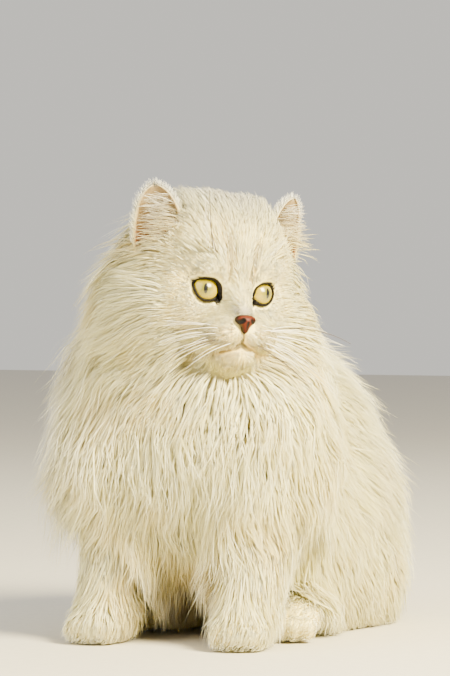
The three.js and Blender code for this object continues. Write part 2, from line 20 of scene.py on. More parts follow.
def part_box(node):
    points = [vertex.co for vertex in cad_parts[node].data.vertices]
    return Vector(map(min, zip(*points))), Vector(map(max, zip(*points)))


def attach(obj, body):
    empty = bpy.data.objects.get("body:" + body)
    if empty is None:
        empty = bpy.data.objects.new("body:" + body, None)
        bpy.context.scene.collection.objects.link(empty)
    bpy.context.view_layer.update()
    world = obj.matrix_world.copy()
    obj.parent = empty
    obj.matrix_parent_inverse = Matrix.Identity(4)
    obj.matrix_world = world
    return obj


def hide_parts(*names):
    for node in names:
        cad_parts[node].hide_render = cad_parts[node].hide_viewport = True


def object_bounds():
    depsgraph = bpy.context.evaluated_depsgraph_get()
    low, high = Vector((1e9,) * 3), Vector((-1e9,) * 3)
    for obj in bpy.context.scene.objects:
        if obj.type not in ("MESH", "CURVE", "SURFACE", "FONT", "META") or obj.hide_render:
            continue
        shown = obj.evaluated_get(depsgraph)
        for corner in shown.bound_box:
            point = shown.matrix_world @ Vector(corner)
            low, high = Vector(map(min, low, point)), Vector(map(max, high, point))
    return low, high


Points = NDArray[np.float64]
Field = Callable[[Points], Points]

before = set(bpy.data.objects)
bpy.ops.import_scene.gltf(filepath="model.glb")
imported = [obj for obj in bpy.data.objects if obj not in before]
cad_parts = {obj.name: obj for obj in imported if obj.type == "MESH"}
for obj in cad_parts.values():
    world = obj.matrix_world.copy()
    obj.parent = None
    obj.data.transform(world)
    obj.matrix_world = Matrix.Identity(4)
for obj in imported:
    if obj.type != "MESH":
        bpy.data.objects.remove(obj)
CAD_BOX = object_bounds()

log = logging.getLogger("persian_cat")
MM = 0.001
SEED = 7
BODY = "root"
COAT_MAP = "OFBake"
PATCH = 0.003  # width of a tuft's patch on the coat map
SIDES = {"right": -1, "left": 1}
WHISKERS_IN_ROW = 5
FAR = 1e3  # mm, farther than anything on the cat
DENT_EDGE = 3.0  # mm over which a dent's edge is rounded

# Driving sizes, which the solids share
HEAD_CENTRE = (10.0, -128.0, 262.0)
HEAD_TURN = 50.0
HEAD_ROLL = 4.5
CHEEK_WIDTH = 60.0
EYE_RADIUS = 11.0
EYE_OUTWARD = 20.0
LID_THICKNESS = 1.9
EAR_HEIGHT = 50.0
EAR_WIDTH = 40.0
EAR_WALL = 2.4
PAW_LENGTH = 52.0
TAIL_POINTS = ((2, 78, 32), (-14, 114, 27), (-58, 128, 24), (-98, 104, 24), (-112, 58, 23), (-110, 14, 20))
TAIL_RADII = (18, 18, 19, 19, 18, 14, 5)
SKIN_DEPTH = 2.0  # the skin lies this far inside the solids' cores
FACE_DEPTH = 0.6  # and this far on the face
CREASE = 10.0  # mm over which the skin's parts are blended
FLESH = (
    *("head", "jaw", "neck", "torso", "foreleg_right", "foreleg_left", "thigh_right", "thigh_left"),
    *("tail_root", "tail_middle", "tail_tip", "ear_right", "ear_left"),
    *("forepaw_right", "forepaw_left", "hindpaw_right", "hindpaw_left"),
)


def linear(colour: str) -> tuple[float, float, float, float]:
    """Turn an sRGB colour to linear.

    Args:
        colour: Six hex digits.

    Returns:
        Red, green, blue and an alpha of one.
    """
    parts = [int(colour[i : i + 2], 16) / 255 for i in (0, 2, 4)]
    red, green, blue = [c / 12.92 if c <= 0.04045 else ((c + 0.055) / 1.055) ** 2.4 for c in parts]
    return red, green, blue, 1.0


def smoothstep(low: float, high: float, value: Points) -> Points:
    """Rise smoothly from 0 at low to 1 at high."""
    t = np.clip((value - low) / (high - low), 0, 1)
    return t * t * (3 - 2 * t)


def unit(vectors: Points) -> Points:
    """Scale each vector to a length of one."""
    return vectors / np.maximum(np.linalg.norm(vectors, axis=-1, keepdims=True), 1e-9)


def smooth_lower(a: Points, b: Points, blend: float) -> Points:
    """Take the lower of two distances, rounded over the blend where they meet."""
    h = np.maximum(blend - np.abs(a - b), 0) / blend
    return np.minimum(a, b) - h * h * blend / 4


@dataclass(frozen=True)
class Ball:
    """A ball stretched along its three axes and tilted about X."""

    centre: tuple[float, float, float]
    radii: tuple[float, float, float]
    tilt: float = 0.0

    def distance(self, p: Points) -> Points:
        """Measure from its surface, below zero inside.

        Args:
            p: Points in the ball's frame.

        Returns:
            The distance at each point.
        """
        cos, sin = math.cos(math.radians(self.tilt)), math.sin(math.radians(self.tilt))
        x, y, z = (p - np.array(self.centre)).T
        local = np.stack([x, y * cos + z * sin, z * cos - y * sin], -1)
        radii = np.array(self.radii)
        share = np.linalg.norm(local / radii, axis=-1)
        steep = np.linalg.norm(local / radii**2, axis=-1)
        return np.where(steep < 1e-9, -radii.min(), share * (share - 1) / np.maximum(steep, 1e-9))


@dataclass(frozen=True)
class Limb:
    """A straight length whose radius changes evenly from one end to the other."""

    start: tuple[float, float, float]
    end: tuple[float, float, float]
    start_radius: float
    end_radius: float

    def distance(self, p: Points) -> Points:
        """Measure from its surface, below zero inside.

        Args:
            p: Points in the limb's frame.

        Returns:
            The distance at each point.
        """
        start = np.array(self.start, float)
        line = np.array(self.end, float) - start
        share = np.clip((p - start) @ line / (line @ line), 0, 1)
        away = np.linalg.norm(p - start - share[:, None] * line, axis=-1)
        return away - (self.start_radius + (self.end_radius - self.start_radius) * share)


@dataclass(frozen=True)
class Frame:
    """A part's own frame: its origin in the cat's frame, and its axes as the columns of a matrix."""

    centre: Points
    axes: Points

    def inside(self, p: Points) -> Points:
        """Give the cat's points in this frame."""
        return (p - self.centre) @ self.axes

    def outside(self, p: Points) -> Points:
        """Give this frame's points in the cat's frame."""
        return p @ self.axes.T + self.centre


def turned(turn: float, roll: float = 0.0, nod: float = 0.0) -> Points:
    """Turn a frame's axes about Z, then about their own Y and X.

    Args:
        turn: Degrees about Z.
        roll: Degrees about Y.
        nod: Degrees about X.

    Returns:
        The axes as the columns of a matrix.
    """
    axes = Matrix.Identity(3)
    for angle, axis in ((turn, "Z"), (roll, "Y"), (nod, "X")):
        axes = axes @ Matrix.Rotation(math.radians(angle), 3, axis)
    return np.array(axes)


CAT = Frame(np.zeros(3), turned(0.0))
HEAD = Frame(np.array(HEAD_CENTRE), turned(HEAD_TURN, HEAD_ROLL))
FACE_AHEAD = HEAD.axes @ np.array([0.0, -1.0, 0.0])


def nearest(shapes: list[Ball | Limb], q: Points) -> Points:
    """Measure from the nearest of some shapes, in their own frame."""
    return np.min([shape.distance(q) for shape in shapes], axis=0)


@dataclass(frozen=True)
class Form:
    """Rounded shapes blended together in a frame, less its dents."""

    shapes: tuple[Ball | Limb, ...]
    blend: float
    place: Frame = CAT
    dents: tuple[Ball, ...] = ()
    extra: tuple["Form", ...] = ()
    face_dent: Ball | None = None

    def distance(self, p: Points) -> Points:
        """Measure from its surface, below zero inside.

        Args:
            p: Points in the cat's frame.

        Returns:
            The distance at each point.
        """
        local = self.place.inside(p)
        total = np.full(len(p), FAR)
        for shape in self.shapes:
            total = smooth_lower(total, shape.distance(local), self.blend)
        for form in self.extra:
            total = smooth_lower(total, form.distance(p), self.blend)
        for dent in self.dents:
            total = -smooth_lower(-total, dent.distance(local), DENT_EDGE)
        if self.face_dent:
            total = -smooth_lower(-total, self.face_dent.distance(HEAD.inside(p)), DENT_EDGE)
        return total


def both(make: Callable[[int], tuple[Ball | Limb, ...]]) -> tuple[Ball | Limb, ...]:
    """Make shapes for the right side, -1, and the left, 1."""
    return make(-1) + make(1)


def paw(centre: tuple[float, float, float], turn: float, long: bool) -> Form:
    """Make a paw with four toes, its sole at the floor.

    Args:
        centre: The middle of its sole.
        turn: Degrees that it points outwards.
        long: Whether it is a hind paw.

    Returns:
        The paw's form.
    """
    toes = tuple(
        Ball((toe * 9, -PAW_LENGTH * 0.38 + abs(toe) * 3.2, 10.5), (6.6, 11, 10))
        for toe in (-1.5, -0.5, 0.5, 1.5)
    )
    heel = (Ball((0, 34, 16), (17, 30, 16)),) if long else ()
    return Form((Ball((0, 6, 15), (19, 24, 15)),) + heel + toes, 4, Frame(np.array(centre), turned(turn)))


class Anatomy:
    """The forms of the body under the coat, the same as the solids' cores."""

    def __init__(self) -> None:
        """Set the forms from the driving sizes."""
        head = Form(
            (
                Ball((0, 6, 14), (55, 51, 49)),
                Ball((0, -16, 20), (41, 28, 30)),
                Ball((0, -10, -34), (42, 36, 26)),
                Limb((0, -36, -8), (0, -47, -23), 9, 8),
            )
            + both(
                lambda side: (
                    Ball((34 * side, 0, -24), (CHEEK_WIDTH - 34, 34, 34)),
                    Ball((19 * side, -33, 9), (15, 11, 9)),
                    Ball((12.5 * side, -45, -39), (15, 12.5, 11)),
                )
            ),
            8,
            HEAD,
            dents=tuple(Ball((26 * side, -46, -8), (11.5, 7.5, 9.5)) for side in SIDES.values()),
        )
        jaw = Form((Ball((0, -41, -54), (15, 12.5, 10.5)), Ball((0, -22, -48), (27, 22, 15))), 8, HEAD)
        neck = Form(
            (
                Limb((0, -92, 172), (4, -110, 236), 52, 46),
                Ball((-34, -112, 192), (58, 48, 66)),
                Ball((28, -104, 184), (46, 44, 54)),
            ),
            18,
            extra=(Form((Ball((-4, 26, -18), (58, 22, 36)),), 1, HEAD),),
            face_dent=Ball((0, -80, -20), (64, 56, 60)),
        )
        torso = Form(
            (
                Ball((0, 42, 78), (62, 68, 78)),
                Ball((0, 10, 60), (58, 56, 66)),
                Ball((0, -2, 116), (68, 72, 94)),
                Ball((0, -88, 142), (64, 62, 86)),
                Ball((0, -122, 146), (48, 46, 62)),
            ),
            24,
        )
        self.forms: dict[str, Form] = {"head": head, "jaw": jaw, "neck": neck, "torso": torso}
        pairs: dict[str, Callable[[int], Form]] = {
            "foreleg": self.foreleg,
            "thigh": self.thigh,
            "forepaw": lambda side: paw((56 * side, -180, 0), 8 * side, False),
            "hindpaw": lambda side: paw((66 * side, -112, 0), 12 * side, True),
        }
        for name, make in pairs.items():
            for word, side in SIDES.items():
                self.forms[f"{name}_{word}"] = make(side)
        self.tail_line = tail_curve(60)
        steps = np.linspace(0, 1, len(self.tail_line))
        radii = np.interp(steps, np.linspace(0, 1, len(TAIL_RADII)), TAIL_RADII)
        spans = range(0, len(steps) - 3, 3)
        line = self.tail_line
        lengths = tuple(Limb(line[i], line[i + 3], radii[i], radii[i + 3]) for i in spans)
        self.forms["tail"] = Form(lengths, 1)

    @staticmethod
    def foreleg(side: int) -> Form:
        """Make a foreleg, -1 for the right and 1 for the left."""
        lower = Limb((56 * side, -154, 84), (55 * side, -176, 20), 24, 18)
        return Form((Ball((56 * side, -140, 118), (31, 37, 54)), lower), 16)

    @staticmethod
    def thigh(side: int) -> Form:
        """Make a thigh, -1 for the right and 1 for the left."""
        return Form(
            (
                Ball((47 * side, -22, 66), (36, 76, 60), 8),
                Ball((52 * side, -74, 66), (28, 36, 40)),
                Ball((52 * side, 8, 30), (30, 60, 34)),
            ),
            16,
        )

    def whole(self, p: Points, blend: float, narrow: float = 5.0) -> Points:
        """Measure from the whole body, its parts blended over a wide crease.

        Args:
            p: Points in the cat's frame.
            blend: The width of the crease.
            narrow: The width at the jaw and the paws.

        Returns:
            The distance at each point.
        """
        total = np.full(len(p), FAR)
        for name, form in self.forms.items():
            small = name == "jaw" or "paw" in name
            total = smooth_lower(total, form.distance(p), narrow if small else blend)
        return total

    def mantle(self, p: Points) -> Points:
        """Measure from the smooth form that the long coat makes, with the mane hung before the chest."""
        mane = Ball((0, -124, 152), (78, 58, 80)).distance(p)
        return smooth_lower(self.whole(p, 30.0, 12.0) + 2.0, mane, 30.0)


def slope(measure: Field, p: Points, step: float) -> Points:
    """Find the unit vectors straight out of a surface, measured a step to each side."""
    return unit(np.stack([measure(p + axis) - measure(p - axis) for axis in np.eye(3) * step], -1))


def tail_curve(count: int) -> Points:
    """Draw the smooth curve through the tail's points, evenly spaced along its length.

    Args:
        count: How many points are made.

    Returns:
        The points from root to tip.
    """
    given = np.array(TAIL_POINTS, float)
    p = np.vstack([2 * given[0] - given[1], given, 2 * given[-1] - given[-2]])
    knots = np.concatenate([[0], np.cumsum(np.sqrt(np.linalg.norm(np.diff(p, axis=0), axis=1)))])
    found = []
    each = 24
    for i in range(1, len(p) - 2):
        t0, t1, t2, t3 = knots[i - 1 : i + 3]
        t = np.linspace(t1, t2, each)[:, None]
        a1 = (t1 - t) / (t1 - t0) * p[i - 1] + (t - t0) / (t1 - t0) * p[i]
        a2 = (t2 - t) / (t2 - t1) * p[i] + (t - t1) / (t2 - t1) * p[i + 1]
        a3 = (t3 - t) / (t3 - t2) * p[i + 1] + (t - t2) / (t3 - t2) * p[i + 2]
        b1 = (t2 - t) / (t2 - t0) * a1 + (t - t0) / (t2 - t0) * a2
        b2 = (t3 - t) / (t3 - t1) * a2 + (t - t1) / (t3 - t1) * a3
        found.append((t2 - t) / (t2 - t1) * b1 + (t - t1) / (t2 - t1) * b2)
    curve = np.vstack(found)
    run = np.concatenate([[0], np.cumsum(np.linalg.norm(np.diff(curve, axis=0), axis=1))])
    even = np.linspace(0, run[-1], count)
    return np.stack([np.interp(even, run, curve[:, k]) for k in range(3)], -1)


def sample(measure: Field, low: Points, high: Points, step: float) -> Points:
    """Measure at the corners of a grid of cells.

    Args:
        measure: The distance.
        low: The grid's lowest corner.
        high: Its highest corner.
        step: The width of a cell.

    Returns:
        The distances, by their place in the grid.
    """
    axes = [np.arange(low[k], high[k] + step, step) for k in range(3)]
    spots = np.stack(np.meshgrid(*axes, indexing="ij"), -1)
    batches = np.array_split(spots.reshape(-1, 3), 12)
    return np.concatenate([measure(batch) for batch in batches]).reshape(spots.shape[:3])


def cut(grid: Points, spans: dict[int, tuple], rest: tuple = (None, None)) -> Points:
    """Cut a block out of a grid, with spans along some axes and the rest along the others."""
    return grid[tuple(slice(*spans.get(axis, rest)) for axis in range(3))]


def surface_net(measure: Field, low: Points, high: Points, step: float) -> tuple[Points, Points]:
    """Wrap the surface where a distance is zero in a closed net of four-sided faces.

    Args:
        measure: The distance.
        low: The lowest corner of the space that is searched.
        high: Its highest corner.
        step: The width of a cell.

    Returns:
        The net's points, and the corners of its faces.
    """
    d = sample(measure, low, high, step)
    cells = tuple(n - 1 for n in d.shape)
    total = np.zeros(cells + (3,))
    hits = np.zeros(cells)
    for axis in range(3):
        a, b = cut(d, {axis: (0, -1)}), cut(d, {axis: (1, None)})
        cross = (a < 0) != (b < 0)
        share = np.where(cross, a / np.where(cross, a - b, 1), 0)
        u, v = [k for k in range(3) if k != axis]
        for i, j in np.ndindex(2, 2):
            spans = {u: (i, i + cells[u]), v: (j, j + cells[v])}
            hit = cut(cross, spans)
            spot = np.zeros(cells + (3,))
            spot[..., axis] = cut(share, spans)
            spot[..., u] = i
            spot[..., v] = j
            total += spot * hit[..., None]
            hits += hit
    used = hits > 0
    number = np.full(cells, -1)
    number[used] = np.arange(used.sum())
    corner = np.stack(np.nonzero(used), -1)
    points = low + (corner + total[used] / hits[used][:, None]) * step
    faces = []
    for axis in range(3):
        u, v = (axis + 1) % 3, (axis + 2) % 3
        a, b = cut(d, {axis: (0, -1)}, (1, -1)) < 0, cut(d, {axis: (1, None)}, (1, -1)) < 0
        at = np.stack(np.nonzero(a != b), -1)
        out = a[a != b]
        at[:, [u, v]] += 1
        quad = []
        for du, dv in ((0, 0), (-1, 0), (-1, -1), (0, -1)):
            near = at.copy()
            near[:, u] += du
            near[:, v] += dv
            quad.append(number[tuple(near.T)])
        quads = np.stack(quad, -1)
        faces.append(np.where(out[:, None], quads, quads[:, ::-1]))
    return points, np.vstack(faces)


def globe(polar: Points, turns: int) -> tuple[Points, list[list[int]]]:
    """Make a closed ball with one pole along -Y.

    Args:
        polar: The angle of each ring from that pole.
        turns: How many points a ring has.

    Returns:
        The directions of its points, and the corners of its faces.
    """
    turn = np.arange(turns) / turns * 2 * math.pi
    ring = np.sin(polar)[:, None]
    ahead = -np.cos(polar)[:, None] * np.ones_like(turn)
    way = np.stack([ring * np.cos(turn), ahead, ring * np.sin(turn)], -1)
    way = np.vstack([[0, -1, 0], way.reshape(-1, 3), [0, 1, 0]])
    end = len(way) - 1
    faces = []
    for i in range(turns):
        j = (i + 1) % turns
        faces.append([0, 1 + i, 1 + j])
        for a in range(1, end - turns, turns):
            faces.append([a + i, a + turns + i, a + turns + j, a + j])
        faces.append([end - turns + i, end, end - turns + j])
    return way, faces


def add_mesh(name: str, points: Points, faces: NDArray[np.int64] | list[list[int]]) -> bpy.types.Object:
    """Make an object in the cat's frame from points in millimetres.

    Args:
        name: The piece's name.
        points: Its points.
        faces: The corners of its faces.

    Returns:
        The new object.
    """
    mesh = bpy.data.meshes.new(name)
    if isinstance(faces, np.ndarray):
        count, size = faces.shape
        mesh.vertices.add(len(points))
        mesh.vertices.foreach_set("co", (points * MM).astype(np.float32).ravel())
        mesh.loops.add(count * size)
        mesh.loops.foreach_set("vertex_index", faces.astype(np.int32).ravel())
        mesh.polygons.add(count)
        mesh.polygons.foreach_set("loop_start", np.arange(0, count * size, size, dtype=np.int32))
        mesh.update(calc_edges=True)
    else:
        mesh.from_pydata((points * MM).tolist(), [], faces)
    mesh.polygons.foreach_set("use_smooth", np.ones(len(mesh.polygons), bool))
    mesh.update()
    piece = bpy.data.objects.new(name, mesh)
    bpy.context.scene.collection.objects.link(piece)
    return piece


def set_attribute(piece: bpy.types.Object, name: str, values: Points) -> None:
    """Store three numbers for each point of a piece."""
    held = piece.data.attributes.new(name, "FLOAT_VECTOR", "POINT")
    held.data.foreach_set("vector", values.astype(np.float32).ravel())


def coordinates(piece: bpy.types.Object) -> Points:
    """Give a piece's points in millimetres."""
    found = np.zeros(len(piece.data.vertices) * 3, np.float32)
    piece.data.vertices.foreach_get("co", found)
    return found.reshape(-1, 3).astype(float) / MM


def add_node(
    tree: bpy.types.NodeTree,
    kind: str,
    settings: dict[str, object] | None = None,
    links: dict[int | str, bpy.types.NodeSocket] | None = None,
    values: dict[int | str, object] | None = None,
) -> bpy.types.Node:
    """Add a node with its settings, values and links.

    Args:
        tree: The tree that takes it.
        kind: The node's type.
        settings: Its properties.
        links: The sockets that feed its inputs, by the input's name or number.
        values: The values of its other inputs, by name or number.

    Returns:
        The new node.
    """
    node = tree.nodes.new(kind)
    for name, value in (settings or {}).items():
        setattr(node, name, value)
    for key, value in (values or {}).items():
        node.inputs[key].default_value = value
    for key, socket in (links or {}).items():
        tree.links.new(socket, node.inputs[key])
    return node


@dataclass(frozen=True)
class Layer:
    """One step of a surface's colour: a colour laid over what lies below, or a change of its brightness."""

    value: bpy.types.NodeSocket
    span: tuple[float, ...] = ()  # the value's range, and then the range that it becomes
    colour: str = ""


def new_material(name: str, settings: dict[str, object]) -> tuple[bpy.types.Material, bpy.types.Node]:
    """Start a material.

    Args:
        name: Its name.
        settings: The values of its shader's sockets.

    Returns:
        The material and its shader.
    """
    material = bpy.data.materials.new(name)
    material.use_nodes = True
    tree = material.node_tree
    tree.nodes.clear()
    shader = add_node(tree, "ShaderNodeBsdfPrincipled", values=settings)
    add_node(tree, "ShaderNodeOutputMaterial", links={"Surface": shader.outputs["BSDF"]})
    return material, shader


def paint(shader: bpy.types.Node, base: str, layers: list[Layer]) -> None:
    """Give a shader its colour, from a base and the layers over it.

    Args:
        shader: The shader.
        base: The colour at the bottom, as hex digits.
        layers: The layers, from the bottom up.
    """
    tree = shader.id_data
    body = None
    for layer in layers:
        share = layer.value
        if layer.span:
            limits = dict(zip(("From Min", "From Max", "To Min", "To Max"), layer.span))
            smooth = {"interpolation_type": "SMOOTHSTEP"}
            share = add_node(tree, "ShaderNodeMapRange", smooth, {"Value": share}, limits).outputs["Result"]
        if layer.colour:
            over = {7: linear(layer.colour)}
            node = add_node(tree, "ShaderNodeMix", {"data_type": "RGBA"}, {0: share}, over)
            below, above = node.inputs[6], node.outputs[2]
        else:
            node = add_node(tree, "ShaderNodeHueSaturation", links={"Value": share})
            below, above = node.inputs["Color"], node.outputs["Color"]
        if body:
            tree.links.new(body, below)
        else:
            below.default_value = linear(base)
        body = above
    tree.links.new(body, shader.inputs["Base Color"])


def read_parts(tree: bpy.types.NodeTree, name: str) -> list[bpy.types.NodeSocket]:
    """Read the three numbers of an attribute."""
    held = add_node(tree, "ShaderNodeAttribute", {"attribute_name": name})
    return list(add_node(tree, "ShaderNodeSeparateXYZ", links={0: held.outputs["Vector"]}).outputs)


def grain(tree: bpy.types.NodeTree, kind: str, size: float, values: dict[str, float]) -> bpy.types.Node:
    """Add a pattern whose grains have a real size in millimetres."""
    where = add_node(tree, "ShaderNodeTexCoord").outputs["Object"]
    return add_node(tree, kind, links={"Vector": where}, values={"Scale": 1 / (size * MM), **values})


def markings_and_shade_of(tree: bpy.types.NodeTree) -> list[Layer]:
    """Give the coat's marks and painted shade, the same on the skin and on the tufts."""
    silver_and_shade, stain_and_shade, smudge = read_parts(tree, "marking_and_shade")
    drift = grain(tree, "ShaderNodeTexNoise", 45, {"Detail": 3.0})
    return [
        Layer(drift.outputs["Fac"], (0.45, 0.7, 0.0, 0.5), "EED47A"),
        # Grey of the silver tone, partly painted shade on the crown and the right side of the mane
        Layer(silver_and_shade, colour="A6A59E"),
        # Tan of the stains, and of the painted shade under the chin, on the low belly, in brow furrows and
        # ear hollows
        Layer(stain_and_shade, colour="A97F3E"),
        Layer(smudge, colour="77727A"),
    ]


@dataclass(frozen=True)
class FurFinish:
    """Cat hair: fine, dry and soft, a cream white that lets light through, with marks and painted shade."""

    name: str = "cat_hair_white"
    root: str = "F4E8A0"
    middle: str = "F6EB9C"
    tip: str = "FAF3A8"

    def material(self) -> bpy.types.Material:
        """Build the material: the tuft attribute holds how far along it is and a random share."""
        settings = {
            "Roughness": 0.6,
            "IOR": 1.55,
            "Specular IOR Level": 0.3,
            "Subsurface Weight": 1.0,
            "Subsurface Radius": (1.0, 1.0, 0.8),
            "Subsurface Scale": 4 * MM,
        }
        material, shader = new_material(self.name, settings)
        along, chance, _ = read_parts(material.node_tree, "tuft")
        layers = [
            Layer(along, (0.0, 0.45, 0, 1), self.middle),
            Layer(along, (0.45, 1.0, 0, 1), self.tip),
            *markings_and_shade_of(material.node_tree),
            Layer(chance, (0.0, 1.0, 0.90, 1.0)),
        ]
        paint(shader, self.root, layers)
        return material


@dataclass(frozen=True)
class SkinFinish:
    """Cat skin under the coat: matt and pale, pink in bare ears, near black at lips and lids, with painted
    shade.
    """

    name: str = "cat_skin"
    cover: str = "F1E4A0"
    pink: str = "8E7A58"
    deep: str = "7C3E1E"
    dark: str = "090504"
    pore: float = 1.2  # mm between pores

    def material(self) -> bpy.types.Material:
        """Build the material: the bare attribute holds shares of pink, deep pink and dark skin and painted
        shade.
        """
        material, shader = new_material(self.name, {"Roughness": 0.6, "Specular IOR Level": 0.2})
        tree = material.node_tree
        pores = grain(tree, "ShaderNodeTexNoise", self.pore, {"Detail": 4.0}).outputs["Fac"]
        pink, deep, dark = read_parts(tree, "bare")
        layers = [
            *markings_and_shade_of(tree),
            Layer(pink, colour=self.pink),
            Layer(deep, colour=self.deep),
            Layer(dark, colour=self.dark),
            Layer(pores, (0.3, 0.7, 0.9, 1.05)),
        ]
        paint(shader, self.cover, layers)
        depth = {"Strength": 0.3, "Distance": 0.3 * MM}
        bump = add_node(tree, "ShaderNodeBump", links={"Height": pores}, values=depth)
        tree.links.new(bump.outputs["Normal"], shader.inputs["Normal"])
        return material


@dataclass(frozen=True)
class EyeFinish:
    """A wet eye: a yellow-green iris with fine spokes, a slit pupil and a dark outer ring, under tears."""

    name: str = "cat_eye"
    outer: str = "AC9600"
    inner: str = "6A6602"
    spoke: str = "5E5E14"
    ring: str = "2B2415"
    pupil: str = "050505"
    slit: tuple[float, float] = (0.15, 0.38)  # the pupil's half width and height over the iris's radius
    crowding: float = 9.0  # how close the spokes stand round the iris

    def material(self) -> bpy.types.Material:
        """Build the material: the iris attribute holds the place on the iris, one at its rim."""
        tears = {"Roughness": 0.25, "Coat Weight": 1.0, "Coat Roughness": 0.02, "Coat IOR": 1.376}
        material, shader = new_material(self.name, tears)
        tree = material.node_tree
        length, times = {"operation": "LENGTH"}, {"operation": "MULTIPLY"}
        held = add_node(tree, "ShaderNodeAttribute", {"attribute_name": "iris"}).outputs["Vector"]
        place = add_node(tree, "ShaderNodeSeparateXYZ", links={0: held}).outputs
        reach = add_node(tree, "ShaderNodeVectorMath", length, {0: held}).outputs["Value"]
        turn = add_node(tree, "ShaderNodeMath", {"operation": "ARCTAN2"}, {0: place[1], 1: place[0]})
        round_it = add_node(tree, "ShaderNodeMath", times, {0: turn.outputs[0]}, {1: self.crowding})
        polar = add_node(tree, "ShaderNodeCombineXYZ", links={"X": round_it.outputs[0], "Y": reach})
        noise = {"Scale": 1.6, "Detail": 5.0}
        spokes = add_node(tree, "ShaderNodeTexNoise", links={"Vector": polar.outputs[0]}, values=noise)
        across, up = [
            add_node(tree, "ShaderNodeMath", times, {0: part}, {1: 1 / half}).outputs[0]
            for part, half in zip(place, self.slit)
        ]
        oval = add_node(tree, "ShaderNodeCombineXYZ", links={"X": across, "Y": up})
        pupil = add_node(tree, "ShaderNodeVectorMath", length, {0: oval.outputs[0]})
        layers = [
            Layer(reach, (0.2, 0.85, 0, 1), self.outer),
            Layer(spokes.outputs["Fac"], (0.5, 0.72, 0.0, 0.55), self.spoke),
            Layer(reach, (0.93, 1.02, 0, 1), self.ring),
            Layer(pupil.outputs["Value"], (1.1, 0.9, 0, 1), self.pupil),
        ]
        paint(shader, self.inner, layers)
        return material


@dataclass(frozen=True)
class LeatherFinish:
    """Moist bare skin of the nose or the eye's rim: fine pebbles with painted shade between, and an edge
    tone.
    """

    name: str
    middle: str
    edge: str
    pebble: float  # mm
    roughness: float
    gloss: float

    def material(self) -> bpy.types.Material:
        """Build the material: the edge attribute holds the share of the edge colour."""
        settings = {"Roughness": self.roughness, "Specular IOR Level": self.gloss}
        material, shader = new_material(self.name, settings)
        tree = material.node_tree
        pebbles = grain(tree, "ShaderNodeTexVoronoi", self.pebble, {}).outputs["Distance"]
        edge = Layer(read_parts(tree, "edge")[0], colour=self.edge)
        # Darker between the pebbles: painted shade in their grooves
        paint(shader, self.middle, [edge, Layer(pebbles, (0.1, 0.7, 1.06, 0.85))])
        depth = {"Strength": 0.4, "Distance": 0.2 * MM}
        bump = add_node(tree, "ShaderNodeBump", {"invert": True}, {"Height": pebbles}, depth)
        tree.links.new(bump.outputs["Normal"], shader.inputs["Normal"])
        return material


@dataclass(frozen=True)
class PlainFinish:
    """A plain matt or glossy finish: a whisker's smooth keratin, or the studio floor."""

    name: str
    colour: str
    roughness: float

    def material(self) -> bpy.types.Material:
        """Build the material, with a slight drift of tone."""
        material, shader = new_material(self.name, {"Roughness": self.roughness})
        drift = grain(material.node_tree, "ShaderNodeTexNoise", 8, {})
        paint(shader, self.colour, [Layer(drift.outputs["Fac"], (0.3, 0.7, 0.97, 1.02))])
        return material


def hand_over(piece: bpy.types.Object) -> None:
    """Fix a finished piece to the body and report it."""
    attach(piece, BODY)
    log.info("%s: %d faces", piece.name, len(piece.data.polygons))


def eye_frame(side: int) -> Frame:
    """Find the frame at the centre of the right eye, -1, or the left, 1, with the gaze along its -Y."""
    low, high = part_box("eye_right" if side < 0 else "eye_left")
    return Frame(np.array((low + high) / 2) / MM, HEAD.axes @ turned(EYE_OUTWARD * side))


def eye_view(p: Points, side: int) -> tuple[Points, Points]:
    """Give the cat's points in an eye's frame, and their flat place on the drawing of its opening."""
    local = eye_frame(side).inside(p)
    return local, np.stack([local[:, 0] * -side, local[:, 2]], -1)


def bezier(points: list[tuple[float, float]], count: int) -> Points:
    """Draw one curved span from four points.

    Args:
        points: Its start, two handles and end.
        count: How many points are made, without the end.

    Returns:
        The points.
    """
    a, b, c, d = [np.array(p, float) for p in points]
    t = np.arange(count)[:, None] / count
    return a * (1 - t) ** 3 + 3 * b * t * (1 - t) ** 2 + 3 * c * t * t * (1 - t) + d * t**3


def eye_opening() -> Points:
    """Draw the opening between the lids, in millimetres, X from the outer corner to the nose."""
    spans = [
        ([(-9.4, 5.6), (-5, 7.6), (2, 8), (5.6, 6.6)], 14),
        ([(5.6, 6.6), (9.4, 4.6), (9.2, -0.5), (10, -4)], 14),
        ([(10, -4), (10.6, -5.4), (11.2, -6.8), (11.6, -7.8)], 5),
        ([(11.6, -7.8), (10.4, -6.9), (9, -6.0), (7.6, -5)], 5),
        ([(7.6, -5), (4, -8), (-1.5, -8.2), (-4.6, -4.8)], 16),
        ([(-4.6, -4.8), (-7, -2), (-8.4, 2), (-9.4, 5.6)], 12),
    ]
    return np.vstack([bezier(points, count) for points, count in spans])


def rim_width(flat: Points) -> Points:
    """Give the width of the dark skin round an eye's opening, widest towards the nose."""
    inner = smoothstep(2, 10, flat[:, 0]) * (1 - 0.75 * smoothstep(1, 7.5, flat[:, 1]))
    return 1.7 + 2.1 * inner - 2.0 * smoothstep(11, 14, flat[:, 0])


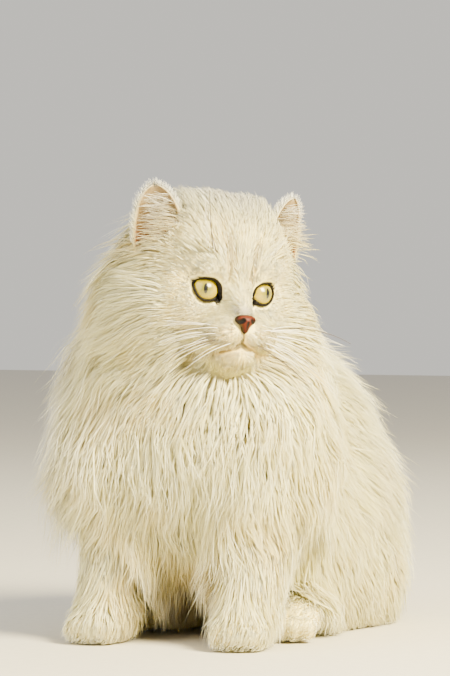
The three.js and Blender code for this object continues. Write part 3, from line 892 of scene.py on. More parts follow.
def outline_distance(p: Points, outline: Points) -> Points:
    """Measure from a closed flat outline, below zero inside.

    Args:
        p: Flat points.
        outline: The outline's corners.

    Returns:
        The distance at each point.
    """
    start = outline
    line = np.roll(outline, -1, axis=0) - start
    away = p[:, None] - start[None]
    share = np.clip((away * line).sum(-1) / (line * line).sum(-1), 0, 1)
    near = np.linalg.norm(away - share[..., None] * line, axis=-1).min(1)
    above = (p[:, None, 1] >= start[None, :, 1]) != (p[:, None, 1] >= (start + line)[None, :, 1])
    rise = np.where(line[:, 1] == 0, 1e-9, line[:, 1])
    cross = start[:, 0] + (p[:, None, 1] - start[:, 1]) * line[:, 0] / rise
    inside = (above & (p[:, None, 0] < cross)).sum(1) % 2 == 1
    return np.where(inside, -near, near)


class Region(Enum):
    """The stretches of coat, each with its own lie."""

    FACE = "face"
    HEAD = "head"
    RUFF = "ruff"
    BODY = "body"
    LEG = "leg"
    THIGH = "thigh"
    PAW = "paw"
    TAIL = "tail"
    EAR = "ear"


REGION_OF = {
    "head": Region.HEAD,
    "jaw": Region.FACE,
    "neck": Region.RUFF,
    "torso": Region.BODY,
    "foreleg": Region.LEG,
    "thigh": Region.THIGH,
    "forepaw": Region.PAW,
    "hindpaw": Region.PAW,
    "tail": Region.TAIL,
}


@dataclass
class Skin:
    """One closed skin over the whole body, with lids, lips and ears."""

    anatomy: Anatomy
    cell: float = 4.2
    fine_reach: float = 46.0
    piece: bpy.types.Object | None = None
    outline: Points = field(default_factory=eye_opening)

    def __post_init__(self) -> None:
        """Lay the groove under the nose, the two lines of the mouth and the furrows on the face."""
        self.mouth = self.lay([(0, -34), (0, -39), (0, -46)], (0.9, 0.8, 1.1))
        self.furrows = []
        for side in SIDES.values():
            lip = [(0, -46), (4.5 * side, -48.6), (11 * side, -50.8), (20 * side, -52.2), (31 * side, -52.5)]
            self.mouth += self.lay(lip, (1.6, 1.4, 1.3, 1.2, 0.6))
            brow = [(7.5 * side, -2), (8.0 * side, 10), (10.5 * side, 24)]
            self.furrows += self.lay(brow, (1.7, 2.3, 1.3))

    def measure(self, p: Points) -> Points:
        """Measure from the finished skin, with the eye sockets and the mouth line.

        Args:
            p: Points in the cat's frame.

        Returns:
            The distance at each point.
        """
        d = self.cover(p)
        q = HEAD.inside(p)
        box = (np.abs(q[:, 0]) < 40) & (q[:, 1] < -8) & (q[:, 1] > -80) & (np.abs(q[:, 2] + 14) < 58)
        near = np.nonzero(box)[0]
        if not len(near):
            return d
        reach = np.linalg.norm(q[near] - (0, -52, -26), axis=-1)
        face = d[near] - (SKIN_DEPTH - FACE_DEPTH) * smoothstep(58, 28, reach)
        for side in SIDES.values():
            local, flat = eye_view(p[near], side)
            away = np.linalg.norm(local, axis=-1)
            face = smooth_lower(face, away - (EYE_RADIUS + LID_THICKNESS), 3.0)
            close = np.nonzero(away < 22)[0]
            opening = np.full(len(near), 20.0)
            opening[close] = outline_distance(flat[close], self.outline)
            face = np.maximum(face, -np.maximum(opening, local[:, 1] - 2))
        face = -smooth_lower(-face, nearest(self.mouth, q[near]), 1.2)
        d[near] = -smooth_lower(-face, nearest(self.furrows, q[near]), 3.0)
        return d

    def cover(self, p: Points) -> Points:
        """Measure from the skin's main form, without lids and lips."""
        return self.anatomy.whole(p, CREASE) + SKIN_DEPTH

    def lay(self, line: list[tuple[float, float]], widths: tuple[float, ...]) -> list[Limb]:
        """Lay a groove on the face.

        Args:
            line: Its points across and up the face, in the head's frame.
            widths: Its radius at each point.

        Returns:
            The groove as straight lengths.
        """
        spots = np.array([[x, -90.0, z] for x, z in line])
        for _ in range(60):
            spots[:, 1] += 0.8 * (self.anatomy.whole(HEAD.outside(spots), CREASE) + FACE_DEPTH)
        ends = [tuple(spot) for spot in spots]
        return [Limb(ends[i], ends[i + 1], widths[i], widths[i + 1]) for i in range(len(ends) - 1)]

    def build(self) -> bpy.types.Object:
        """Make the skin, finer round the face, and unwrap it.

        Returns:
            The skin.
        """
        low, high = np.array([-150.0, -225.0, -6.0]), np.array([110.0, 165.0, 340.0])
        points, faces = surface_net(self.cover, low, high, self.cell)
        piece = add_mesh("skin", points, faces)
        net = bmesh.new()
        net.from_mesh(piece.data)
        nose = Vector(HEAD.outside(np.array([[0.0, -44.0, -22.0]]))[0] * MM)
        for reach in (self.fine_reach, self.fine_reach * 0.8, self.fine_reach * 0.62):
            near = [e for e in net.edges if (e.verts[0].co - nose).length < reach * MM]
            bmesh.ops.subdivide_edges(net, edges=near, cuts=1, use_grid_fill=True)
        bmesh.ops.triangulate(net, faces=[f for f in net.faces if len(f.verts) > 4])
        net.to_mesh(piece.data)
        net.free()
        points = coordinates(piece)
        for _ in range(4):
            out = slope(self.measure, points, 0.4)
            points = points - out * np.clip(self.measure(points), -1.5, 1.5)[:, None]
        points[:, 2] = np.maximum(points[:, 2], 0.4)
        piece.data.vertices.foreach_set("co", (points * MM).astype(np.float32).ravel())
        self.piece = piece
        self.add_ears()
        self.mark()
        self.unwrap()
        piece.data.materials.append(SkinFinish().material())
        for node in FLESH:
            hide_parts(node)
        hand_over(piece)
        return piece

    def add_ears(self) -> None:
        """Fuse the ears to the skin."""
        for side in SIDES.values():
            ear = Ear(side).build()
            join = self.piece.modifiers.new("ear", "BOOLEAN")
            join.operation = "UNION"
            join.solver = "EXACT"
            join.object = ear
            apply_modifiers(self.piece)
            bpy.data.objects.remove(ear)

    def mark(self) -> None:
        """Store the marks and painted shade, and where the skin is bare: pink, deep pink or dark."""
        points = coordinates(self.piece)
        q = HEAD.inside(points)
        pink, deep, dark = np.zeros((3, len(points)))
        for side in SIDES.values():
            hollow, up = Ear(side).hollow(points)
            pink = np.maximum(pink, hollow * smoothstep(2, 12, up))
            deep = np.maximum(deep, hollow * smoothstep(30, 8, up) * smoothstep(2, 10, up) * 0.8)
            local, flat = eye_view(points, side)
            close = np.nonzero((np.linalg.norm(local, axis=-1) < 24) & (local[:, 1] < 2))[0]
            edge = outline_distance(flat[close], self.outline) - rim_width(flat[close])
            dark[close] = np.maximum(dark[close], smoothstep(0.5, -0.4, edge))
        mouth = nearest(self.mouth, q)
        middle = smoothstep(9, 3, np.hypot(q[:, 0], q[:, 2] + 46))
        # Near black along the mouth line: dark lip skin, with painted shade that deepens towards its middle
        lip = smoothstep(1.0, -0.3, mouth) * (q[:, 1] < -40) * (0.45 + 0.55 * middle)
        set_attribute(self.piece, "bare", np.stack([pink, deep, np.maximum(dark, lip)], -1))
        set_attribute(self.piece, "marking_and_shade", markings_and_shade(points, self))

    def unwrap(self) -> None:
        """Lay the skin out flat on its own map."""
        bpy.context.view_layer.objects.active = self.piece
        self.piece.select_set(True)
        bpy.ops.object.mode_set(mode="EDIT")
        bpy.ops.mesh.select_all(action="SELECT")
        bpy.ops.uv.smart_project(angle_limit=math.radians(66), island_margin=0.002)
        bpy.ops.object.mode_set(mode="OBJECT")
        self.piece.data.uv_layers.active.name = COAT_MAP


def markings_and_shade(p: Points, skin: Skin) -> Points:
    """Find the coat's marks and painted shade: a silver tone, tan stains and the smudge over the nose.

    Args:
        p: Points on the skin.
        skin: The skin, for its mouth.

    Returns:
        Three shares for each point.
    """
    q = HEAD.inside(p)
    # Silver tone on the crown, back and right side of the mane; on the crown and the mane it is partly
    # painted shade
    crown = smoothstep(26, 62, q[:, 2]) * smoothstep(150, 190, p[:, 2])
    back = smoothstep(-100, -30, p[:, 1]) * smoothstep(70, 160, p[:, 2])
    mane = smoothstep(-35, -80, p[:, 0]) * smoothstep(120, 190, p[:, 2])
    silver_and_shade = np.clip(0.75 * crown + 0.35 * back + 0.5 * mane, 0, 0.8)
    face = q[:, 1] < -20
    stain_and_shade = 0.4 * smoothstep(5, 0.5, nearest(skin.mouth, q)) * face
    # Tan under the chin and on the low belly between the forelegs is painted shade
    under = smoothstep(-52, -68, q[:, 2]) * smoothstep(80, 50, np.linalg.norm(q, axis=-1)) * (q[:, 1] < -10)
    low = smoothstep(150, 80, p[:, 2]) * smoothstep(-80, -110, p[:, 1]) * smoothstep(52, 24, np.abs(p[:, 0]))
    stain_and_shade = np.maximum(stain_and_shade, np.maximum(0.34 * under, 0.6 * low))
    # Tan in the brow furrows is painted shade
    stain_and_shade = np.maximum(stain_and_shade, 0.5 * smoothstep(2.8, 0.4, nearest(skin.furrows, q)) * face)
    for side in SIDES.values():
        tear = np.linalg.norm((q - (14.0 * side, -46, -20)) * (1, 0.7, 1), axis=-1)
        stain_and_shade = np.maximum(stain_and_shade, 0.4 * smoothstep(8, 2, tear))
        hollow, up = Ear(side).hollow(p)
        # Tan in the ear's hollow is painted shade
        stain_and_shade = np.maximum(stain_and_shade, 0.5 * hollow * smoothstep(-2, 6, up))
        for root in whisker_roots(side):
            spot = smoothstep(1.9, 0.7, np.hypot(q[:, 0] - root[0], q[:, 2] - root[2]))
            stain_and_shade = np.maximum(stain_and_shade, 0.55 * spot * (q[:, 1] < -40))
    smudge = 0.8 * smoothstep(8, 2, np.linalg.norm((q - (0, -52, -22)) * (0.8, 0.6, 1), axis=-1))
    return np.stack([silver_and_shade, stain_and_shade, smudge], -1)


def whisker_roots(side: int) -> list[tuple[float, float, float]]:
    """List where one side's whiskers grow in the head's frame, row by row from the nose down."""
    return [
        ((11 + place * 3.2) * side, -56 + place * 2.4, -35.5 - row * 3.4 + place * 0.4)
        for row in range(4)
        for place in range(WHISKERS_IN_ROW)
    ]


def apply_modifiers(piece: bpy.types.Object) -> None:
    """Turn a piece's modifiers into its mesh, and remove them."""
    bpy.context.view_layer.update()
    held = piece.evaluated_get(bpy.context.evaluated_depsgraph_get())
    mesh = bpy.data.meshes.new_from_object(held)
    old = piece.data
    piece.modifiers.clear()
    piece.data = mesh
    bpy.data.meshes.remove(old)


@dataclass
class Ear:
    """An ear: a curved wall, open to the front and side, that rises from a wide foot to a rounded tip."""

    side: int
    turns: int = 22
    levels: int = 22

    @property
    def axes(self) -> Points:
        """The ear's axes as the columns of a matrix."""
        return HEAD.axes @ turned(30 * self.side, 9 * self.side, 4)

    @property
    def foot(self) -> Points:
        """The middle of its foot in the cat's frame."""
        return HEAD.outside(np.array([[46.0 * self.side, -3.0, 16.0]]))[0]

    def profile(self, t: Points) -> tuple[Points, Points, Points]:
        """Give its half width, depth and lean at a share of its height."""
        width = (EAR_WIDTH / 2) * np.sqrt(np.maximum(1 - t**2.3, 0.012))
        return width, 19 + (3 - 19) * t**0.8, 4 * t * t

    def build(self) -> bpy.types.Object:
        """Make the ear's closed wall.

        Returns:
            The ear, to be joined to the skin.
        """
        rings = []
        for level in range(self.levels + 1):
            t = np.array(level / self.levels)
            width, depth, lean = self.profile(t)
            angle = np.linspace(-0.56, 0.56, self.turns + 1) * math.pi
            height = np.full(len(angle), float(t) * EAR_HEIGHT)
            outer = np.stack([np.sin(angle) * width, np.cos(angle) * depth - lean, height], -1)
            thin = min(EAR_WALL, float(width) * 0.75)
            deep = max(float(depth) - thin, 0.2)
            inner = np.stack([np.sin(angle) * (width - thin), np.cos(angle) * deep - lean, height], -1)
            rings.append(np.vstack([outer, inner[::-1]]))
        points = np.vstack(rings) @ self.axes.T + self.foot
        count = len(rings[0])
        faces = []
        for level in range(self.levels):
            for i in range(count):
                a, b = level * count + i, level * count + (i + 1) % count
                faces.append([a, b, b + count, a + count])
        faces.append(list(range(count))[::-1])
        faces.append([self.levels * count + i for i in range(count)])
        piece = add_mesh("ear", points, faces)
        recalculate(piece)
        return piece

    def within(self, points: Points) -> tuple[Points, Points, Points]:
        """Place points in the ear.

        Args:
            points: Points in the cat's frame.

        Returns:
            The points in the ear's frame, how far out they lie, one at its wall, and its half width there.
        """
        local = (points - self.foot) @ self.axes
        width, depth, lean = self.profile(np.clip(local[:, 2] / EAR_HEIGHT, 0, 1))
        return local, np.hypot(local[:, 0] / width, np.maximum(local[:, 1] + lean, 0) / depth), width

    def hollow(self, points: Points) -> tuple[Points, Points]:
        """Find what lies in the ear's hollow.

        Args:
            points: Points in the cat's frame.

        Returns:
            A share of one inside the hollow, and the height above the ear's foot.
        """
        local, reach, width = self.within(points)
        tall = (local[:, 2] > -8) & (local[:, 2] < EAR_HEIGHT + 2)
        inside = (reach < 1 - EAR_WALL * 0.6 / width) & tall & (local[:, 1] > -8)
        return inside.astype(float), local[:, 2]

    def beside(self, points: Points) -> NDArray[np.bool_]:
        """Find the points that lie on the ear's wall or in its hollow.

        Args:
            points: Points in the cat's frame.

        Returns:
            Whether each point does.
        """
        local, reach, width = self.within(points)
        ahead = (local[:, 1] > -10) & (local[:, 2] > 8) & (local[:, 2] < EAR_HEIGHT + 3)
        return (reach < 1.0 + 1.5 / width) & ahead


def recalculate(piece: bpy.types.Object) -> None:
    """Turn a closed piece's faces outwards."""
    net = bmesh.new()
    net.from_mesh(piece.data)
    bmesh.ops.recalc_face_normals(net, faces=net.faces)
    net.to_mesh(piece.data)
    net.free()


@dataclass
class Eyes:
    """The two eyeballs, with their rims of dark skin."""

    iris_radius: float = 9.3
    bulge: float = 0.7
    turns: int = 72
    rings: int = 48

    def build(self) -> None:
        """Make both eyes and their rims."""
        eye = EyeFinish().material()
        rim = LeatherFinish("eye_rim_skin", "080504", "100906", 0.9, 0.55, 0.12).material()
        for word, side in SIDES.items():
            ball = self.ball(side, f"eyeball_{word}")
            ball.data.materials.append(eye)
            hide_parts(f"eye_{word}")
            hand_over(ball)
            edge = self.rim(side, f"eye_rim_{word}")
            edge.data.materials.append(rim)
            hand_over(edge)

    def ball(self, side: int, name: str) -> bpy.types.Object:
        """Make an eyeball whose pole faces along the gaze.

        Args:
            side: -1 for the right eye and 1 for the left.
            name: The piece's name.

        Returns:
            The eyeball.
        """
        polar = np.linspace(0, 1, self.rings + 1)[1:-1] ** 1.3 * math.pi
        local, faces = globe(polar, self.turns)
        off = np.hypot(local[:, 0], local[:, 2]) * EYE_RADIUS / self.iris_radius
        lift = self.bulge * np.clip(1 - off**2, 0, 1) * (local[:, 1] < 0)
        points = local * (EYE_RADIUS - 0.1 + lift)[:, None]
        piece = add_mesh(name, eye_frame(side).outside(points), faces)
        recalculate(piece)
        iris = np.stack([local[:, 0], local[:, 2] - 0.06, np.zeros(len(local))], -1)
        iris = iris * EYE_RADIUS / self.iris_radius
        iris[local[:, 1] > 0] = (2, 0, 0)
        set_attribute(piece, "iris", iris)
        return piece

    def rim(self, side: int, name: str) -> bpy.types.Object:
        """Make the dark rim round an opening, widest towards the nose.

        Args:
            side: -1 for the right eye and 1 for the left.
            name: The piece's name.

        Returns:
            The rim.
        """
        line = eye_opening()
        ahead = unit(np.roll(line, -1, axis=0) - np.roll(line, 1, axis=0))
        out = np.stack([-ahead[:, 1], ahead[:, 0]], -1)
        width = 0.8 * rim_width(line)
        section = [(-0.5, -0.6), (-0.35, 0.5), (0.0, 1.3), (0.5, 1.95), (1.0, 1.7), (1.0, 0.2), (0.3, -0.8)]
        rings = []
        for across, height in section:
            offset = np.where(across < 0, across, across * width)
            flat = line + out * offset[:, None]
            radius = EYE_RADIUS + height
            ahead_y = -np.sqrt(np.maximum(radius**2 - (flat**2).sum(1), 4.0))
            rings.append(np.stack([flat[:, 0] * -side, ahead_y, flat[:, 1]], -1))
        points = eye_frame(side).outside(np.stack(rings, 1).reshape(-1, 3))
        count, size = len(line), len(section)
        faces = []
        for i in range(count):
            for k in range(size):
                a, b = i * size, (i + 1) % count * size
                faces.append([a + k, a + (k + 1) % size, b + (k + 1) % size, b + k])
        piece = add_mesh(name, points, faces)
        recalculate(piece)
        share = np.tile([0, 0, 0, 0.1, 0.8, 1, 1], count)
        set_attribute(piece, "edge", np.stack([share] * 3, -1))
        return piece


@dataclass
class Nose:
    """The nose leather with its two nostrils."""

    turns: int = 64
    rings: int = 40

    def build(self) -> bpy.types.Object:
        """Make the nose leather.

        Returns:
            The leather.
        """
        form = Form(
            (
                Ball((-4.2, -55, -28.2), (3.6, 4.5, 3.2)),
                Ball((4.2, -55, -28.2), (3.6, 4.5, 3.2)),
                Ball((0, -56, -29), (5, 5, 4.4)),
                Ball((0, -55.2, -34), (2.6, 4, 4)),
            ),
            2.5,
            HEAD,
        )
        holes = [
            Limb((3.4 * side, -59.6, -28.6), (6.6 * side, -57.8, -30.4), 1.3, 1.5) for side in SIDES.values()
        ]
        holes.append(Limb((0, -60.6, -30), (0, -59.6, -37), 0.35, 0.5))

        def measure(p: Points) -> Points:
            """Measure from the leather, less its nostrils."""
            q = HEAD.inside(p)
            d = form.distance(p)
            for hole in holes:
                d = -smooth_lower(-d, hole.distance(q), 0.6)
            return d

        way, faces = globe(np.linspace(0.02, 0.98, self.rings) * math.pi, self.turns)
        start = HEAD.outside(np.array([[0.0, -53.5, -30.5]]))
        ray = way @ HEAD.axes.T
        reach = np.zeros(len(ray))
        for _ in range(60):
            reach = np.clip(reach - measure(start + ray * reach[:, None]) * 0.7, 0, 14)
        points = start + ray * reach[:, None]
        piece = add_mesh("nose_leather", points, faces)
        recalculate(piece)
        q = HEAD.inside(points)
        rim = smoothstep(-59.0, -56.5, q[:, 1])
        # Near black in the nostrils and the groove below them is painted shade in these holes; the dark at
        # the leather's back is its own outline
        share = np.maximum(smoothstep(1.2, 0.2, nearest(holes, q)), rim * 0.9)
        set_attribute(piece, "edge", np.stack([share] * 3, -1))
        # Its edge colour is both the dark outline and the painted shade in the nostrils
        finish = LeatherFinish("nose_leather", "4E1603", "0A0503", 0.7, 0.5, 0.2)
        piece.data.materials.append(finish.material())
        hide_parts("nose")
        hand_over(piece)
        return piece


@dataclass(frozen=True)
class Zone:
    """How the coat grows on one region, in millimetres."""

    spacing: float
    length: tuple[float, float]
    width: tuple[float, float]
    standout: float  # how far the outer tufts' tips lie from the body
    clump: float
    wave: float


ZONES = {
    Region.FACE: Zone(0.95, (5, 9), (0.55, 0.85), 2.6, 0.15, 0.0),
    Region.HEAD: Zone(1.6, (34, 56), (0.8, 1.3), 12, 0.22, 1.6),
    Region.RUFF: Zone(1.9, (68, 106), (0.75, 1.25), 27, 0.38, 6.0),
    Region.BODY: Zone(2.4, (58, 90), (0.9, 1.5), 23, 0.27, 4.5),
    Region.LEG: Zone(2.6, (26, 44), (0.9, 1.3), 8, 0.3, 2.0),
    Region.THIGH: Zone(2.85, (50, 76), (1.0, 1.7), 17, 0.35, 3.0),
    Region.PAW: Zone(2.0, (6, 10), (0.8, 1.2), 2.0, 0.15, 0.3),
    Region.TAIL: Zone(2.8, (42, 60), (1.1, 1.8), 15, 0.5, 3.0),
    Region.EAR: Zone(1.1, (3.5, 6.5), (0.5, 0.8), 1.2, 0.15, 0.3),
}

COAT_PIECES = {
    "face": 3,
    "crown": 4,
    "cheek_right": 4,
    "cheek_left": 4,
    "ears": 3,
    "ruff_right": 5,
    "ruff_left": 5,
    "bib": 5,
    "body_right": 4,
    "body_left": 4,
    "legs": 4,
    "paws": 3,
    "haunches": 4,
    "tail": 4,
}


@dataclass
class Roots:
    """Where tufts grow, with what each needs to know of its place."""

    point: Points
    normal: Points
    uv: Points
    region: NDArray[np.int64]

    def pick(self, mask: NDArray[np.bool_]) -> "Roots":
        """Keep some of the roots."""
        return Roots(self.point[mask], self.normal[mask], self.uv[mask], self.region[mask])


class Guide:
    """A distance sampled on a grid, so that long tufts can read it quickly."""

    def __init__(self, measure: Field, low: Points, high: Points, step: float) -> None:
        """Sample the distance and its slope.

        Args:
            measure: The distance.
            low: The grid's lowest corner.
            high: Its highest corner.
            step: The width of a cell.
        """
        values = sample(measure, low, high, step)
        self.table = np.stack([values, *np.gradient(values, step)], -1)
        self.low, self.step = low, step

    def read(self, p: Points) -> tuple[Points, Points]:
        """Read the distance and the direction out of the body.

        Args:
            p: Points in the cat's frame.

        Returns:
            The distance and a unit vector at each point.
        """
        place = (p - self.low) / self.step
        place = np.clip(place, 0, np.array(self.table.shape[:3]) - 1.001)
        cell = place.astype(int)
        part = place - cell
        total = np.zeros((len(p), 4))
        for corner in np.ndindex(2, 2, 2):
            weight = np.prod(np.where(corner, part, 1 - part), axis=1)
            at = cell + corner
            total += self.table[at[:, 0], at[:, 1], at[:, 2]] * weight[:, None]
        return total[:, 0], unit(total[:, 1:])


class Coat:
    """The whole coat: solid tufts that root in the skin and lie along the body."""

    fade = 7.0  # mm over which one region's lie turns into the next one's
    under = 0.34  # the share of tufts that makes the under layer
    stray = 0.025  # the share of thin tufts that stands out from the rest
    lowest = (1.4, 0.3)  # mm from the floor to a tuft's middle line and to its sides
    near_nose = (6, 16, 30, 46, 66, 92)  # mm from the nose, where the head's tufts have the next two sizes
    head_lengths = (3.0, 5.2, 8.0, 12.5, 24.0, 56.0)
    head_standouts = (1.0, 1.8, 2.8, 4.5, 8.5, 14.0)

    def __init__(self, anatomy: Anatomy, skin: Skin) -> None:
        """Keep the body and the skin, and start the random draws.

        Args:
            anatomy: The body's forms.
            skin: The finished skin.
        """
        self.anatomy = anatomy
        self.skin = skin
        self.rng = np.random.default_rng(SEED)
        self.regions = list(Region)
        self.material = FurFinish().material()
        low, high = np.array([-160.0, -235.0, -8.0]), np.array([140.0, 190.0, 350.0])
        self.mantle = Guide(anatomy.mantle, low, high, 5.0)
        turns = self.rng.normal(0, 1, (3, 3, 3))
        self.turns = turns / np.linalg.norm(turns, axis=-1, keepdims=True)

    def number(self, region: Region) -> int:
        """Give a region's number."""
        return self.regions.index(region)

    def column(self, name: str) -> Points:
        """Give one of the zones' sizes for every region."""
        return np.array([getattr(ZONES[r], name) for r in self.regions])

    def seed_roots(self) -> Roots:
        """Spread roots over the skin, closer together where the coat is finer.

        Returns:
            The roots.
        """
        mesh = self.skin.piece.data
        mesh.calc_loop_triangles()
        count = len(mesh.loop_triangles)
        corners = np.zeros(count * 3, np.int32)
        loops = np.zeros(count * 3, np.int32)
        mesh.loop_triangles.foreach_get("vertices", corners)
        mesh.loop_triangles.foreach_get("loops", loops)
        corners, loops = corners.reshape(-1, 3), loops.reshape(-1, 3)
        points = coordinates(self.skin.piece)
        uv = np.zeros(len(mesh.loops) * 2, np.float32)
        mesh.uv_layers[COAT_MAP].uv.foreach_get("vector", uv)
        uv = uv.reshape(-1, 2)
        a, b, c = [points[corners[:, k]] for k in range(3)]
        cross = np.cross(b - a, c - a)
        area = np.linalg.norm(cross, axis=-1) / 2
        region = self.region_at((a + b + c) / 3)
        chest = smoothstep(-95, -120, points[corners[:, 0], 1]) * (region == self.number(Region.BODY))
        spacing = self.column("spacing")[region] * (1 - 0.2 * chest)
        number = self.rng.poisson(area / spacing**2 * 3.2)
        which = np.repeat(np.arange(count), number)
        share = self.rng.random((len(which), 2))
        share = np.where(share.sum(1, keepdims=True) > 1, 1 - share, share)
        weight = np.column_stack([1 - share.sum(1), share])
        place = sum(points[corners[which, k]] * weight[:, k : k + 1] for k in range(3))
        on_map = sum(uv[loops[which, k]] * weight[:, k : k + 1] for k in range(3))
        order = self.rng.permutation(len(which))
        which, place, on_map = which[order], place[order], on_map[order]
        cube = np.floor(place / spacing[which][:, None]).astype(np.int64)
        key = ((cube[:, 0] * 4096 + cube[:, 1]) * 4096 + cube[:, 2]) * 16 + region[which]
        _, first = np.unique(key, return_index=True)
        first.sort()
        roots = Roots(place[first], unit(cross[which[first]]), on_map[first], region[which[first]])
        return roots.pick(self.allowed(roots))

    def region_at(self, p: Points) -> NDArray[np.int64]:
        """Name the region that each point belongs to.

        Args:
            p: Points on the skin.

        Returns:
            The region's number at each point.
        """
        forms = self.anatomy.forms
        numbers = np.array([self.number(REGION_OF[name.split("_")[0]]) for name in forms])
        found = numbers[np.argmin([form.distance(p) for form in forms.values()], axis=0)]
        q = HEAD.inside(p)
        face = np.linalg.norm(q - (0, -50, -24), axis=-1) < 46
        found[(found == self.number(Region.HEAD)) & face] = self.number(Region.FACE)
        for side in SIDES.values():
            found[Ear(side).beside(p)] = self.number(Region.EAR)
        return found

    def eye_reach(self, p: Points) -> tuple[Points, Points]:
        """Measure how far points are from the nearer eye's opening.

        Args:
            p: Points in the cat's frame.

        Returns:
            The distance from the opening, up to 20, and the direction away from the eye.
        """
        reach = np.full(len(p), 20.0)
        way = np.zeros_like(p)
        for side in SIDES.values():
            local, flat = eye_view(p, side)
            close = np.nonzero((np.linalg.norm(local, axis=-1) < 28) & (local[:, 1] < 4))[0]
            reach[close] = np.minimum(outline_distance(flat[close], self.skin.outline), 20)
            local[:, 1] = 0
            way[close] = unit(local[close]) @ eye_frame(side).axes.T
        return reach, way

    def allowed(self, roots: Roots) -> NDArray[np.bool_]:
        """Keep roots off the eyes, the nose, the lips, the ears' hollows and the soles."""
        p = roots.point
        q = HEAD.inside(p)
        reach, _ = self.eye_reach(p)
        keep = (p[:, 2] > 1.6) & (reach > 1.5)
        for side in SIDES.values():
            local, flat = eye_view(p, side)
            dark = np.linalg.norm(local, axis=-1) < 24
            keep &= ~(dark & (reach < rim_width(flat) + 0.3))
            hollow, up = Ear(side).hollow(p)
            sparse = self.rng.random(len(p)) < 0.5
            keep &= ~((hollow > 0.5) & (up > -2) & sparse)
        keep &= np.linalg.norm((q - (0, -57, -30.5)) / (1.15, 1, 0.95), axis=-1) > 7.4
        middle = smoothstep(9, 3, np.hypot(q[:, 0], q[:, 2] + 46))
        keep &= ~((nearest(self.skin.mouth, q) < 0.8 + 0.7 * middle) & (q[:, 1] < -40))
        return keep

    def shares(self, roots: Roots) -> Points:
        """Find how much each region has of each root, so that one runs into the next.

        Args:
            roots: Where the tufts grow.

        Returns:
            A row of shares for each root.
        """
        reach = {region: np.full(len(roots.point), 200.0) for region in self.regions}
        for name, form in self.anatomy.forms.items():
            region = REGION_OF[name.split("_")[0]]
            region = Region.HEAD if region is Region.FACE else region
            reach[region] = np.minimum(reach[region], form.distance(roots.point))
        reach[Region.LEG] = reach[Region.LEG] + np.maximum(roots.point[:, 2] - 92, 0) * 0.6
        far = np.stack([reach[region] for region in self.regions], -1)
        share = np.exp(-(far - far.min(1, keepdims=True)) / self.fade)
        share[roots.region == self.number(Region.EAR)] = 0
        share[roots.region == self.number(Region.EAR), self.number(Region.EAR)] = 1
        return share / share.sum(1, keepdims=True)

    def lie(self, p: Points, share: Points) -> Points:
        """Give the direction of the coat.

        Args:
            p: Points in the coat.
            share: How much each region has of each tuft.

        Returns:
            A unit vector at each point, not yet laid along the surface.
        """
        count = len(p)
        from_head = p - np.array(HEAD_CENTRE)
        away = unit(from_head - (from_head @ FACE_AHEAD)[:, None] * FACE_AHEAD)
        down = np.array([0.0, 0.0, -1.0])
        q = HEAD.inside(p)
        brow = q - np.array([0.0, -50.0, -20.0])
        brow[:, 1] = 0
        face = unit(brow @ HEAD.axes.T) * 0.9 - FACE_AHEAD * 0.75
        muzzle = smoothstep(24, 10, np.linalg.norm((q - (0, -52, -42)) * (0.75, 0.7, 1), axis=-1))[:, None]
        droop = np.column_stack([np.tanh(q[:, 0] / 6) * 0.85, np.full(count, 0.6), np.full(count, -0.45)])
        face = face * (1 - muzzle) + (droop @ HEAD.axes.T) * muzzle
        reach, off_eye = self.eye_reach(p)
        face = face + off_eye * 1.6 * smoothstep(12, 2, reach)[:, None]
        behind = smoothstep(5, 40, q[:, 1])[:, None]
        head = away * (0.7 - 0.4 * behind) - FACE_AHEAD * 0.8 + down * (0.25 + 0.9 * behind)
        front = smoothstep(-6, -34, q[:, 1])[:, None]
        head = unit(head) * (1 - front) + unit(face) * front
        ruff = away * 0.5 - FACE_AHEAD * 0.2 + down * 1.05
        ruff[:, 1] += 1.3 * smoothstep(-120, -75, p[:, 1])
        chest = smoothstep(-70, -115, p[:, 1])[:, None]
        zero, one = np.zeros(count), np.ones(count)
        side = np.column_stack([zero, one * 0.55, -one])
        bib = np.column_stack([p[:, 0] * 0.003, one * 0.04, -one])
        line = self.anatomy.tail_line
        near = np.argmin(((p[:, None] - line[None]) ** 2).sum(-1), axis=1)
        by_region = {
            Region.HEAD: head,
            Region.RUFF: ruff,
            Region.BODY: side * (1 - chest) + bib * chest,
            Region.LEG: np.column_stack([p[:, 0] * 0.002, one * 0.1, -one]),
            Region.THIGH: np.column_stack([zero, one * 0.45, -one]),
            Region.PAW: np.column_stack([zero, -one, -one * 0.5]),
            Region.TAIL: np.gradient(line, axis=0)[near],
        }
        total = np.zeros_like(p)
        for region, vectors in by_region.items():
            total += unit(vectors) * share[:, self.number(region), None]
        return unit(total)

